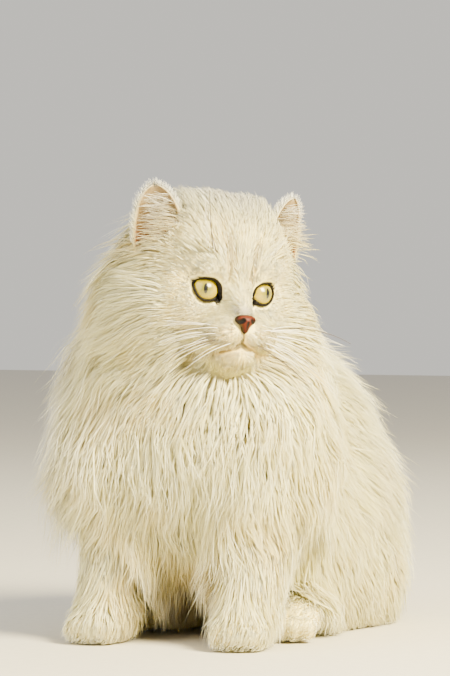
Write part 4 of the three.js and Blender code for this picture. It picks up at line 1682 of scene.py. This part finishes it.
    def sizes(self, roots: Roots, share: Points) -> dict[str, Points]:
        """Draw the length, width and standout of each tuft.

        Args:
            roots: Where they grow.
            share: How much each region has of each.

        Returns:
            One number for each tuft under each name.
        """
        count = len(roots.point)
        chance = self.rng.random((count, 4))
        length = share @ self.column("length")
        width = share @ self.column("width")
        length = length[:, 0] + (length[:, 1] - length[:, 0]) * chance[:, 0]
        width = width[:, 0] + (width[:, 1] - width[:, 0]) * chance[:, 1]
        standout = share @ self.column("standout")
        q = HEAD.inside(roots.point)
        head = share[:, self.number(Region.HEAD)]
        reach = np.linalg.norm(q - (0, -56, -32), axis=-1)
        aside = np.clip(np.abs(q[:, 0]) / 50, 0, 1) ** 2
        top = smoothstep(0, 36, q[:, 2]) * (1 - aside * 0.6)
        grown = np.interp(reach, self.near_nose, self.head_lengths)
        grown = grown * (1 + 0.3 * aside - 0.74 * top) * (0.8 + 0.4 * chance[:, 0])
        rise = np.interp(reach, self.near_nose, self.head_standouts)
        rise = rise * (1 - 0.4 * top) + 18 * aside * smoothstep(40, 75, reach)
        thin = np.interp(reach, [10, 40, 70], [0.65, 0.7, 0.85]) * (0.75 + 0.5 * chance[:, 1])
        clear = np.ones(count)
        for side in SIDES.values():
            ear = Ear(side)
            local = ((roots.point - ear.foot) @ ear.axes - (-6 * side, -16, 16)) / (20, 20, 30)
            beyond = smoothstep(0.8, 1.5, np.linalg.norm(local, axis=-1))
            free = np.maximum(beyond, smoothstep(-0.1, 0.5, local[:, 0] * side))
            clear = np.minimum(clear, 0.3 + 0.7 * free)
        grown = grown * clear
        rise = np.minimum(rise, 0.42 * grown + 14 * aside) * clear
        length = length * (1 - head) + grown * head
        standout = standout * (1 - head) + rise * head
        width = width * (1 - head) + thin * head
        neck = share[:, self.number(Region.RUFF)]
        tucked = 10 * smoothstep(165, 205, roots.point[:, 2]) * smoothstep(-40, -90, roots.point[:, 1])
        standout = standout + neck * (15 * np.clip((-roots.point[:, 0] - 15) / 50, 0, 1) - tucked)
        eye, _ = self.eye_reach(roots.point)
        length = np.where(eye < 19.9, np.minimum(length, 2.4 + 0.6 * eye), length)
        standout = np.where(eye < 19.9, np.minimum(standout, 0.7 + 0.16 * eye), standout)
        standout = standout * (1 - 0.8 * smoothstep(4.5, 0.5, nearest(self.skin.furrows, q)))
        mouth = nearest(self.skin.mouth, q)
        lips = q[:, 1] < -30
        length = np.where(lips & (head > 0.5), np.minimum(length, 1.7 + 0.75 * np.abs(mouth)), length)
        fly = chance[:, 3] < self.stray
        lump = self.drift(roots.point, 30.0)
        under = chance[:, 2] < self.under
        fill = np.where(under, 0.5 + 0.9 * chance[:, 2], 0.75 + 0.25 * chance[:, 2])
        fill = fill * (1 + 0.28 * lump[:, 0] * smoothstep(12, 40, length))
        width = width * np.where(under, 1 + 1.2 * smoothstep(8, 26, length), 1.0)
        length = length * (1 + 0.15 * lump[:, 1])
        standout = standout * fill * np.where(fly, 1.3, 1.0)
        width = width * np.where(fly, 0.6, 1.0)
        length = np.minimum(length, (roots.point[:, 2] + 12) * 1.1)
        clump, wave = share @ self.column("clump"), share @ self.column("wave")
        clump = clump + 0.3 * head * aside * smoothstep(50, 80, reach)
        clump = clump * np.where(under, 0.12, 1.0)
        return {"length": length, "width": width, "standout": standout, "clump": clump, "wave": wave}

    def paths(
        self, roots: Roots, sizes: dict[str, Points], share: Points, segments: int
    ) -> tuple[Points, Points]:
        """March each tuft from its root along the lie, rising to its standout and hanging across creases.

        Args:
            roots: Where they grow.
            sizes: Their sizes.
            share: How much each region has of each.
            segments: Steps from root to tip.

        Returns:
            The rings' centres and the directions out of the body there, as tuft, ring and axis.
        """
        short = sizes["length"].mean() < 12
        step = (sizes["length"] / segments)[:, None]
        lift = np.minimum(sizes["standout"] * 0.3, 3.0)
        sway = self.drift(roots.point, 26.0)[:, :1] * smoothstep(8, 30, sizes["length"])[:, None]
        spin = self.rng.normal(0, 0.13, (len(step), 1)) + 0.3 * sway
        here = roots.point.copy()
        out = self.read(here, short)[1]
        centres = [here - out * (1.2 if short else 3.0)]
        outs = [out]
        for i in range(segments):
            goal = lift + (sizes["standout"] - lift) * (i + 1) / segments
            along = self.lie(here, share)
            inward = np.minimum((along * out).sum(1, keepdims=True), 0)
            along = unit(along - inward * out)
            along = unit(along + np.cross(along, out) * spin)
            here = here + along * step
            away, out = self.read(here, short)
            lack = np.minimum(goal - away, step[:, 0] * 0.8)
            here = here + out * np.where(lack > 0, lack, lack * 0.45)[:, None]
            centres.append(here)
            outs.append(out)
        return np.stack(centres, 1), np.stack(outs, 1)

    def read(self, p: Points, short: bool) -> tuple[Points, Points]:
        """Read the distance and the way out, from the skin itself under short fur.

        Args:
            p: Points in the cat's frame.
            short: Whether the fur is short enough to follow the skin's own folds.

        Returns:
            The distance and a unit vector at each point.
        """
        if not short:
            return self.mantle.read(p)
        return self.skin.measure(p), slope(self.skin.measure, p, 0.8)

    def drift(self, p: Points, scale: float) -> Points:
        """Give a smooth wander that is the same for neighbouring tufts.

        Args:
            p: Points in the cat's frame.
            scale: The length over which it changes, in millimetres.

        Returns:
            A vector at each point, each part of it mostly between -1 and 1.
        """
        turn = 2 * math.pi / scale
        parts = []
        for k in range(3):
            rows = self.turns[k]
            first = np.sin(p @ rows[0] * turn + k)
            second = np.sin(p @ rows[1] * turn * 1.7 + 2 * k + 1)
            parts.append(0.6 * first + 0.4 * second * np.cos(p @ rows[2] * turn * 0.8))
        return np.stack(parts, -1)

    def gather(self, paths: Points, sizes: dict[str, Points]) -> tuple[Points, Points]:
        """Draw neighbouring tufts together into wavy locks towards their tips.

        Args:
            paths: The rings' centres.
            sizes: The tufts' sizes.

        Returns:
            The gathered centres, and a random share that the tufts of one lock have in common.
        """
        count, rings = paths.shape[:2]
        own = self.rng.random(count)
        share = np.linspace(0, 1, rings)[None, :, None]
        lock = own
        for every, strength, far in ((12, 0.75, 16.0), (70, 0.5, 34.0)):
            guides = np.arange(0, count, every)
            tree = kdtree.KDTree(len(guides))
            for i, guide in enumerate(guides):
                tree.insert(paths[guide, 0], i)
            tree.balance()
            leader = guides[np.array([tree.find(p)[1] for p in paths[:, 0]])]
            offset = paths[leader] - paths
            close = smoothstep(far, far / 3, np.linalg.norm(offset, axis=-1, keepdims=True))
            paths = paths + offset * sizes["clump"][:, None, None] * strength * share**1.3 * close
            lock = own[leader] if lock is own else lock
        flat = paths.reshape(-1, 3)
        wave = self.drift(flat, 46.0) + 0.45 * self.drift(flat + 200, 19.0)
        paths = paths + wave.reshape(paths.shape) * sizes["wave"][:, None, None] * share**1.2
        stray = self.rng.normal(0, 1.3, (count, 1, 3)) * share**1.5
        stray = stray + self.rng.normal(0, 0.25, paths.shape) * share
        paths = paths + stray * np.minimum(sizes["length"] / 45, 1)[:, None, None]
        return paths, 0.4 * own + 0.6 * lock

    @staticmethod
    def keep_in(centres: Points, room: float = 6.0, give: float = 0.35) -> Points:
        """Press in the few tips that reach far past the solids.

        Args:
            centres: The rings' centres.
            room: How far past the solids' box they may reach freely.
            give: How much of the rest they keep.

        Returns:
            The pressed centres.
        """
        low, high = (np.array(corner) / MM for corner in CAD_BOX)
        inner = np.clip(centres, low - room, high + room)
        return inner + (centres - inner) * give

    def grow(self, name: str, roots: Roots, segments: int) -> bpy.types.Object:
        """Make one piece of coat.

        Args:
            name: The piece's name.
            roots: Where its tufts grow.
            segments: Steps from root to tip.

        Returns:
            The piece.
        """
        share = self.shares(roots)
        sizes = self.sizes(roots, share)
        if name == "coat_ears":
            centres, outs = EarFur(self.rng).paths(roots, sizes, segments)
        else:
            centres, outs = self.paths(roots, sizes, share, segments)
        centres, chance = self.gather(centres, sizes)
        centres = self.keep_in(centres)
        centres[..., 2] = np.maximum(centres[..., 2], self.lowest[0])
        count = len(centres)
        ahead = unit(np.gradient(centres, axis=1))
        side = unit(np.cross(ahead, outs))
        up = np.cross(side, ahead)
        roll = self.rng.normal(0, 0.35, (count, 1, 1))
        side, up = side * np.cos(roll) + up * np.sin(roll), up * np.cos(roll) - side * np.sin(roll)
        along = np.linspace(0, 1, segments + 1)
        swell = np.where(along < 0.3, 0.6 + 0.4 * along / 0.3, 1 - (np.maximum(along - 0.3, 0) / 0.7) ** 1.7)
        half = (sizes["width"][:, None] / 2 * swell[None, :])[..., None]
        rings = np.stack([centres - side * half, centres + up * half * 0.6, centres + side * half], 2)
        points = np.concatenate([rings[:, :-1].reshape(count, -1, 3), centres[:, -1:]], 1)
        points[..., 2] = np.maximum(points[..., 2], self.lowest[1])
        each = points.shape[1]
        pattern = self.pattern(segments)
        faces = (np.arange(count)[:, None, None] * each + pattern[None]).reshape(-1, 3)
        piece = add_mesh(name, points.reshape(-1, 3), faces)
        self.soften(piece, points, outs, pattern, segments)
        steps = np.append(np.repeat(along[:-1], 3), 1.0)
        tuft = np.stack([np.tile(steps, count), np.repeat(chance, each), np.zeros(count * each)], -1)
        set_attribute(piece, "tuft", tuft)
        # Marks, some of them painted shade, the same as on the skin
        set_attribute(piece, "marking_and_shade", np.repeat(markings_and_shade(roots.point, self.skin), each, axis=0))
        self.map_patches(piece, roots, steps, faces, segments)
        piece.data.materials.append(self.material)
        hand_over(piece)
        log.info("%s: %d tufts", name, count)
        return piece

    @staticmethod
    def pattern(segments: int) -> NDArray[np.int64]:
        """List the triangles of one tuft: three sides, a closed root and a point.

        Args:
            segments: Steps from root to tip.

        Returns:
            The corners of each triangle.
        """
        triangles = []
        for i in range(segments - 1):
            for k in range(3):
                a, b = 3 * i + k, 3 * i + (k + 1) % 3
                triangles += [(a, b, a + 3), (b, b + 3, a + 3)]
        last = 3 * (segments - 1)
        triangles += [(last + k, last + (k + 1) % 3, 3 * segments) for k in range(3)]
        triangles.append((2, 1, 0))
        return np.array(triangles)

    @staticmethod
    def map_patches(
        piece: bpy.types.Object, roots: Roots, steps: Points, faces: NDArray[np.int64], segments: int
    ) -> None:
        """Give each tuft a small patch of the coat map, at its root's place on the skin's own map.

        Args:
            piece: The coat piece.
            roots: Where its tufts grow.
            steps: How far along its tuft each point of one tuft is.
            faces: The corners of the triangles.
            segments: Steps from root to tip.
        """
        across = np.append(np.tile([0.0, 0.5, 1.0], segments), 0.5)
        spread = (np.stack([across, steps], -1) - 0.5) * PATCH
        fitted = roots.uv - roots.uv.min(0)
        fitted = PATCH + fitted / fitted.max(0) * (1 - 2 * PATCH)
        uv = (fitted[:, None, :] + spread[None]).reshape(-1, 2)
        layer = piece.data.uv_layers.new(name=COAT_MAP, do_init=False)
        layer.uv.foreach_set("vector", uv[faces.ravel()].astype(np.float32).ravel())

    @staticmethod
    def soften(
        piece: bpy.types.Object, points: Points, outs: Points, pattern: NDArray[np.int64], segments: int
    ) -> None:
        """Turn the normals of a tuft's outer faces towards the body's, as light spreads through a soft coat.

        Args:
            piece: The coat piece.
            points: Its points, by tuft.
            outs: The directions out of the body, by tuft and ring.
            pattern: The triangles of one tuft.
            segments: Steps from root to tip.
        """
        count, each = points.shape[:2]
        own = np.zeros(count * each * 3, np.float32)
        piece.data.vertex_normals.foreach_get("vector", own)
        own = own.reshape(count, each, 3)
        ring = np.append(np.repeat(np.arange(segments), 3), segments)
        out = outs[:, ring][:, pattern]
        a, b, c = [points[:, pattern[:, k]] for k in range(3)]
        flat = unit(np.cross(b - a, c - a))[:, :, None]
        facing = (flat * out).sum(-1, keepdims=True)
        turn = 0.82 * smoothstep(-0.15, 0.4, facing)
        corner = unit(own[:, pattern] * (1 - turn) + out * turn)
        good = (corner * flat).sum(-1, keepdims=True) > 0.08
        corner = np.where(good, corner, flat)
        piece.data.normals_split_custom_set(corner.reshape(-1, 3).astype(np.float32))

    def piece_of(self, roots: Roots) -> Points:
        """Name the coat piece that each root belongs to.

        Args:
            roots: All the roots.

        Returns:
            The names.
        """
        p, region = roots.point, roots.region
        right = np.where(p[:, 0] < 0, "right", "left")
        q = HEAD.inside(p)
        crown = (q[:, 2] > 24) & (np.abs(q[:, 0]) < 44)
        cheek = np.where(q[:, 0] < 0, "cheek_right", "cheek_left")
        found = np.full(len(p), "body_right", dtype="<U12")
        names = {
            Region.FACE: "face",
            Region.HEAD: np.where(crown, "crown", cheek),
            Region.EAR: "ears",
            Region.RUFF: np.char.add("ruff_", right),
            Region.BODY: np.where(p[:, 1] < -110, "bib", np.char.add("body_", right)),
            Region.LEG: "legs",
            Region.PAW: "paws",
            Region.THIGH: "haunches",
            Region.TAIL: "tail",
        }
        for kind, name in names.items():
            mask = region == self.number(kind)
            found[mask] = name if isinstance(name, str) else name[mask]
        return found

    def build(self) -> None:
        """Grow every piece of the coat."""
        roots = self.seed_roots()
        part = self.piece_of(roots)
        total = 0
        for name, segments in COAT_PIECES.items():
            own = roots.pick(part == name)
            total += len(self.grow(f"coat_{name}", own, segments).data.polygons)
        log.info("coat: %d triangles in all", total)


@dataclass
class EarFur:
    """The short fur over the ears' backs and rims, and the long hairs that sweep across their hollows."""

    rng: np.random.Generator
    sweep: tuple[float, float] = (0.75, 1.5)  # of the ear's half width

    def paths(self, roots: Roots, sizes: dict[str, Points], segments: int) -> tuple[Points, Points]:
        """Draw each tuft on the ear from its root.

        Args:
            roots: Where they grow.
            sizes: Their sizes, whose lengths are changed for the long hairs.
            segments: Steps from root to tip.

        Returns:
            The rings' centres and the directions out of the ear there, as tuft, ring and axis.
        """
        count = len(roots.point)
        centres = np.zeros((count, segments + 1, 3))
        side = np.where(HEAD.inside(roots.point)[:, 0] < 0, -1, 1)
        share = np.linspace(0, 1, segments + 1)[None, :, None]
        for s in SIDES.values():
            ear = Ear(s)
            mine = np.nonzero(side == s)[0]
            local = (roots.point[mine] - ear.foot) @ ear.axes
            normal = roots.normal[mine] @ ear.axes
            hollow, _ = ear.hollow(roots.point[mine])
            level = np.clip(local[:, 2] / EAR_HEIGHT, 0, 1)
            medial = local[:, 0] * -s
            long = (hollow > 0.5) & (medial > 1) & (level < 0.85) & (self.rng.random(len(mine)) < 0.6)
            half = np.maximum(ear.profile(level)[0], 6)
            reach = half * self.rng.uniform(*self.sweep, len(mine))
            fall = self.rng.normal(0.12, 0.22, len(mine))
            across = np.column_stack([s * np.ones(len(mine)), np.full(len(mine), -0.35), fall])
            fur = np.column_stack([local[:, 0] * 0.022, local[:, 1] * 0.012, np.ones(len(mine))])
            fur = unit(fur + self.rng.normal(0, 0.06, fur.shape) + normal * (0.1, 0.1, 0.0))
            rise = np.where(hollow > 0.5, 1.0, sizes["standout"][mine])[:, None, None]
            length = np.where(hollow > 0.5, 4.5, sizes["length"][mine])[:, None, None]
            short = local[:, None] + fur[:, None] * share * length + normal[:, None] * (share * rise - 0.5)
            bow = np.array([0.0, -1.0, 0.25]) * np.sin(share * math.pi * 0.8) * reach[:, None, None] * 0.28
            swept = local[:, None] + unit(across)[:, None] * share * reach[:, None, None] + bow
            centres[mine] = np.where(long[:, None, None], swept, short) @ ear.axes.T + ear.foot
            sizes["width"][mine] = np.where(long, 0.7, sizes["width"][mine])
            sizes["length"][mine] = np.where(long, reach, length[:, 0, 0])
        outs = np.repeat(roots.normal[:, None], segments + 1, axis=1)
        return centres, outs


@dataclass(frozen=True)
class Lamp:
    """A soft square light that looks at the cat."""

    name: str
    azimuth: float  # degrees round the cat from the camera
    elevation: float  # degrees above the floor
    width: float  # metres
    power: float  # watts
    colour: str


LAMPS = (
    Lamp("key", 44, 35, 0.9, 400, "FFF0BE"),
    Lamp("fill", -52, 26, 2.2, 76, "F6F0DC"),
    Lamp("rim", 165, 45, 1.2, 14, "E8EEF8"),
)


@dataclass
class Studio:
    """The camera, the lights and the floor."""

    azimuth: float = 25.0
    distance: float = 2400.0
    height: float = 264.0
    aim: tuple[float, float] = (16.0, -125.0)
    focal: float = 3288.0  # pixels
    horizon: float = 278.0
    frame_size: tuple[int, int] = (450, 676)
    lamp_aim: tuple[float, float, float] = (0, -0.06, 0.17)  # metres
    lamp_distance: float = 2.2  # metres

    def build(self) -> None:
        """Set up the camera, lights and floor."""
        self.add_camera()
        self.add_lights()
        self.add_floor()

    def add_camera(self) -> None:
        """Place the camera where the photograph was taken."""
        turn = math.radians(self.azimuth)
        back = Vector((math.sin(turn), -math.cos(turn), 0))
        place = Vector((*self.aim, 0)) + back * self.distance
        place.z = self.height
        drop = (self.frame_size[1] / 2 - self.horizon) / self.focal
        aim = Vector((*self.aim, self.height - self.distance * drop))
        data = bpy.data.cameras.new("camera")
        data.sensor_width = 36
        data.lens = self.focal / self.frame_size[1] * 36
        data.clip_end = 50
        camera = bpy.data.objects.new("camera", data)
        camera.location = place * MM
        camera.rotation_euler = (aim - place).to_track_quat("-Z", "Y").to_euler()
        bpy.context.scene.collection.objects.link(camera)
        bpy.context.scene.camera = camera

    def add_lights(self) -> None:
        """Light the cat: a warm key on its left and front, a paler fill on its right, a glow all round."""
        for lamp in LAMPS:
            data = bpy.data.lights.new(lamp.name, "AREA")
            data.size = lamp.width
            data.energy = lamp.power
            data.color = linear(lamp.colour)[:3]
            light = bpy.data.objects.new(lamp.name, data)
            turn, rise = math.radians(self.azimuth + lamp.azimuth), math.radians(lamp.elevation)
            way = Vector((math.sin(turn) * math.cos(rise), -math.cos(turn) * math.cos(rise), math.sin(rise)))
            light.location = Vector(self.lamp_aim) + way * self.lamp_distance
            light.rotation_euler = (-way).to_track_quat("-Z", "Y").to_euler()
            bpy.context.scene.collection.objects.link(light)
        world = bpy.data.worlds.new("studio")
        world.use_nodes = True
        glow = world.node_tree.nodes["Background"]
        glow.inputs["Color"].default_value = linear("D6D3CC")
        glow.inputs["Strength"].default_value = 1.15
        bpy.context.scene.world = world

    def add_floor(self) -> None:
        """Lay a wide pale floor."""
        half = 6000.0
        corners = np.array([[-half, -half, 0], [half, -half, 0], [half, half, 0], [-half, half, 0]])
        floor = add_mesh("floor", corners, [[0, 1, 2, 3]])
        floor.data.materials.append(PlainFinish("pale_floor", "C9C4BA", 0.8).material())


class WhiskerTree:
    """A Geometry Nodes tree that sweeps tapered hairs along a mesh of edges."""

    def __init__(self, material: bpy.types.Material) -> None:
        """Build the tree.

        Args:
            material: What the hairs are made of.
        """
        tree = bpy.data.node_groups.new("whisker_sweep", "GeometryNodeTree")
        face = tree.interface
        face.new_socket("Geometry", in_out="INPUT", socket_type="NodeSocketGeometry")
        self.radius = face.new_socket("Root Radius", in_out="INPUT", socket_type="NodeSocketFloat")
        self.tip = face.new_socket("Tip Share", in_out="INPUT", socket_type="NodeSocketFloat")
        self.sides = face.new_socket("Sides", in_out="INPUT", socket_type="NodeSocketInt")
        face.new_socket("Geometry", in_out="OUTPUT", socket_type="NodeSocketGeometry")
        entry = add_node(tree, "NodeGroupInput")
        line = add_node(tree, "GeometryNodeMeshToCurve", links={"Mesh": entry.outputs["Geometry"]})
        along = add_node(tree, "GeometryNodeSplineParameter")
        taper = add_node(
            tree,
            "ShaderNodeMapRange",
            links={"Value": along.outputs["Factor"], "To Max": entry.outputs["Tip Share"]},
            values={"To Min": 1.0},
        )
        sized = add_node(
            tree,
            "GeometryNodeSetCurveRadius",
            links={"Curve": line.outputs["Curve"], "Radius": taper.outputs["Result"]},
        )
        ring = add_node(
            tree,
            "GeometryNodeCurvePrimitiveCircle",
            links={"Resolution": entry.outputs["Sides"], "Radius": entry.outputs["Root Radius"]},
        )
        swept = add_node(
            tree,
            "GeometryNodeCurveToMesh",
            links={
                "Curve": sized.outputs["Curve"],
                "Profile Curve": ring.outputs["Curve"],
                "Scale": taper.outputs["Result"],
            },
            values={"Fill Caps": True},
        )
        whole = add_node(tree, "GeometryNodeRealizeInstances", links={"Geometry": swept.outputs["Mesh"]})
        dressed = add_node(
            tree,
            "GeometryNodeSetMaterial",
            links={"Geometry": whole.outputs["Geometry"]},
            values={"Material": material},
        )
        add_node(tree, "NodeGroupOutput", links={"Geometry": dressed.outputs["Geometry"]})
        self.tree = tree

    def sweep(
        self, name: str, lines: list[Points], radius: float, tip: float, sides: int
    ) -> bpy.types.Object:
        """Sweep hairs along lines.

        Args:
            name: The piece's name.
            lines: Each hair's points in millimetres, from root to tip.
            radius: The radius at the root, in millimetres.
            tip: The tip's radius over the root's.
            sides: How many sides a hair has.

        Returns:
            The hairs as one plain mesh.
        """
        mesh = bpy.data.meshes.new(name)
        edges: list[tuple[int, int]] = []
        start = 0
        for line in lines:
            edges += [(start + i, start + i + 1) for i in range(len(line) - 1)]
            start += len(line)
        mesh.from_pydata((np.vstack(lines) * MM).tolist(), edges, [])
        piece = bpy.data.objects.new(name, mesh)
        bpy.context.scene.collection.objects.link(piece)
        modifier = piece.modifiers.new("sweep", "NODES")
        modifier.node_group = self.tree
        modifier[self.radius.identifier] = radius * MM
        modifier[self.tip.identifier] = tip
        modifier[self.sides.identifier] = sides
        apply_modifiers(piece)
        piece.data.polygons.foreach_set("use_smooth", np.ones(len(piece.data.polygons), bool))
        hand_over(piece)
        return piece


@dataclass
class Whiskers:
    """The whiskers beside the nose and the long hairs over the eyes."""

    length: float = 92.0
    points: int = 14

    def hair(self, root: Points, way: Points, droop: float, length: float) -> Points:
        """Draw one hair that bends under its weight.

        Args:
            root: Where it grows, in the head's frame.
            way: Its direction there.
            droop: How far its tip falls, as a share of its length.
            length: Its length.

        Returns:
            Its points in the cat's frame.
        """
        t = np.linspace(0, 1, self.points)[:, None]
        line = root + unit(way) * t * length + np.array([0, 0.25, -1.0]) * droop * length * t**2.2
        return HEAD.outside(line)

    def build(self) -> None:
        """Make the pale whiskers and the dark hairs."""
        rng = np.random.default_rng(SEED + 1)
        pale, dark = [], []
        for side in SIDES.values():
            for number, root in enumerate(whisker_roots(side)):
                row, place = divmod(number, WHISKERS_IN_ROW)
                back = -0.2 if side > 0 else 0.3
                way = np.array([side, back + 0.1 * place, 0.16 - 0.17 * row]) + rng.normal(0, 0.06, 3)
                reach = self.length if side > 0 else self.length * 0.6
                long = reach * (1 - 0.10 * row) * rng.uniform(0.55, 1.0)
                line = self.hair(np.array(root), way, rng.uniform(0.10, 0.3), long)
                (dark if rng.random() < 0.2 else pale).append(line)
            for i in range(5) if side < 0 else (0, 2, 4):
                root = np.array([(14 + i * 2.0) * side, -37.0 + i, 10.0 + i * 0.6])
                way = np.array([(0.78 - 0.06 * i) * side, -0.78, 1.0]) + rng.normal(0, 0.05, 3)
                line = self.hair(root, way, -0.18, rng.uniform(40, 62) * (1.0 if side < 0 else 0.6))
                (dark if i in (0, 2) and side < 0 else pale).append(line)
        material = PlainFinish("white_whisker_keratin", "F2EEE4", 0.35).material()
        WhiskerTree(material).sweep("whiskers_pale", pale, 0.26, 0.25, 6)
        material = PlainFinish("dark_whisker_keratin", "43362A", 0.35).material()
        WhiskerTree(material).sweep("whiskers_dark", dark, 0.46, 0.3, 6)


def main() -> None:
    """Build the cat, then the studio round it."""
    logging.basicConfig(level=logging.INFO, format="%(asctime)s %(name)s: %(message)s")
    anatomy = Anatomy()
    skin = Skin(anatomy)
    skin.build()
    Eyes().build()
    Nose().build()
    Coat(anatomy, skin).build()
    Whiskers().build()
    Studio().build()


if __name__ == "__main__":
    main()
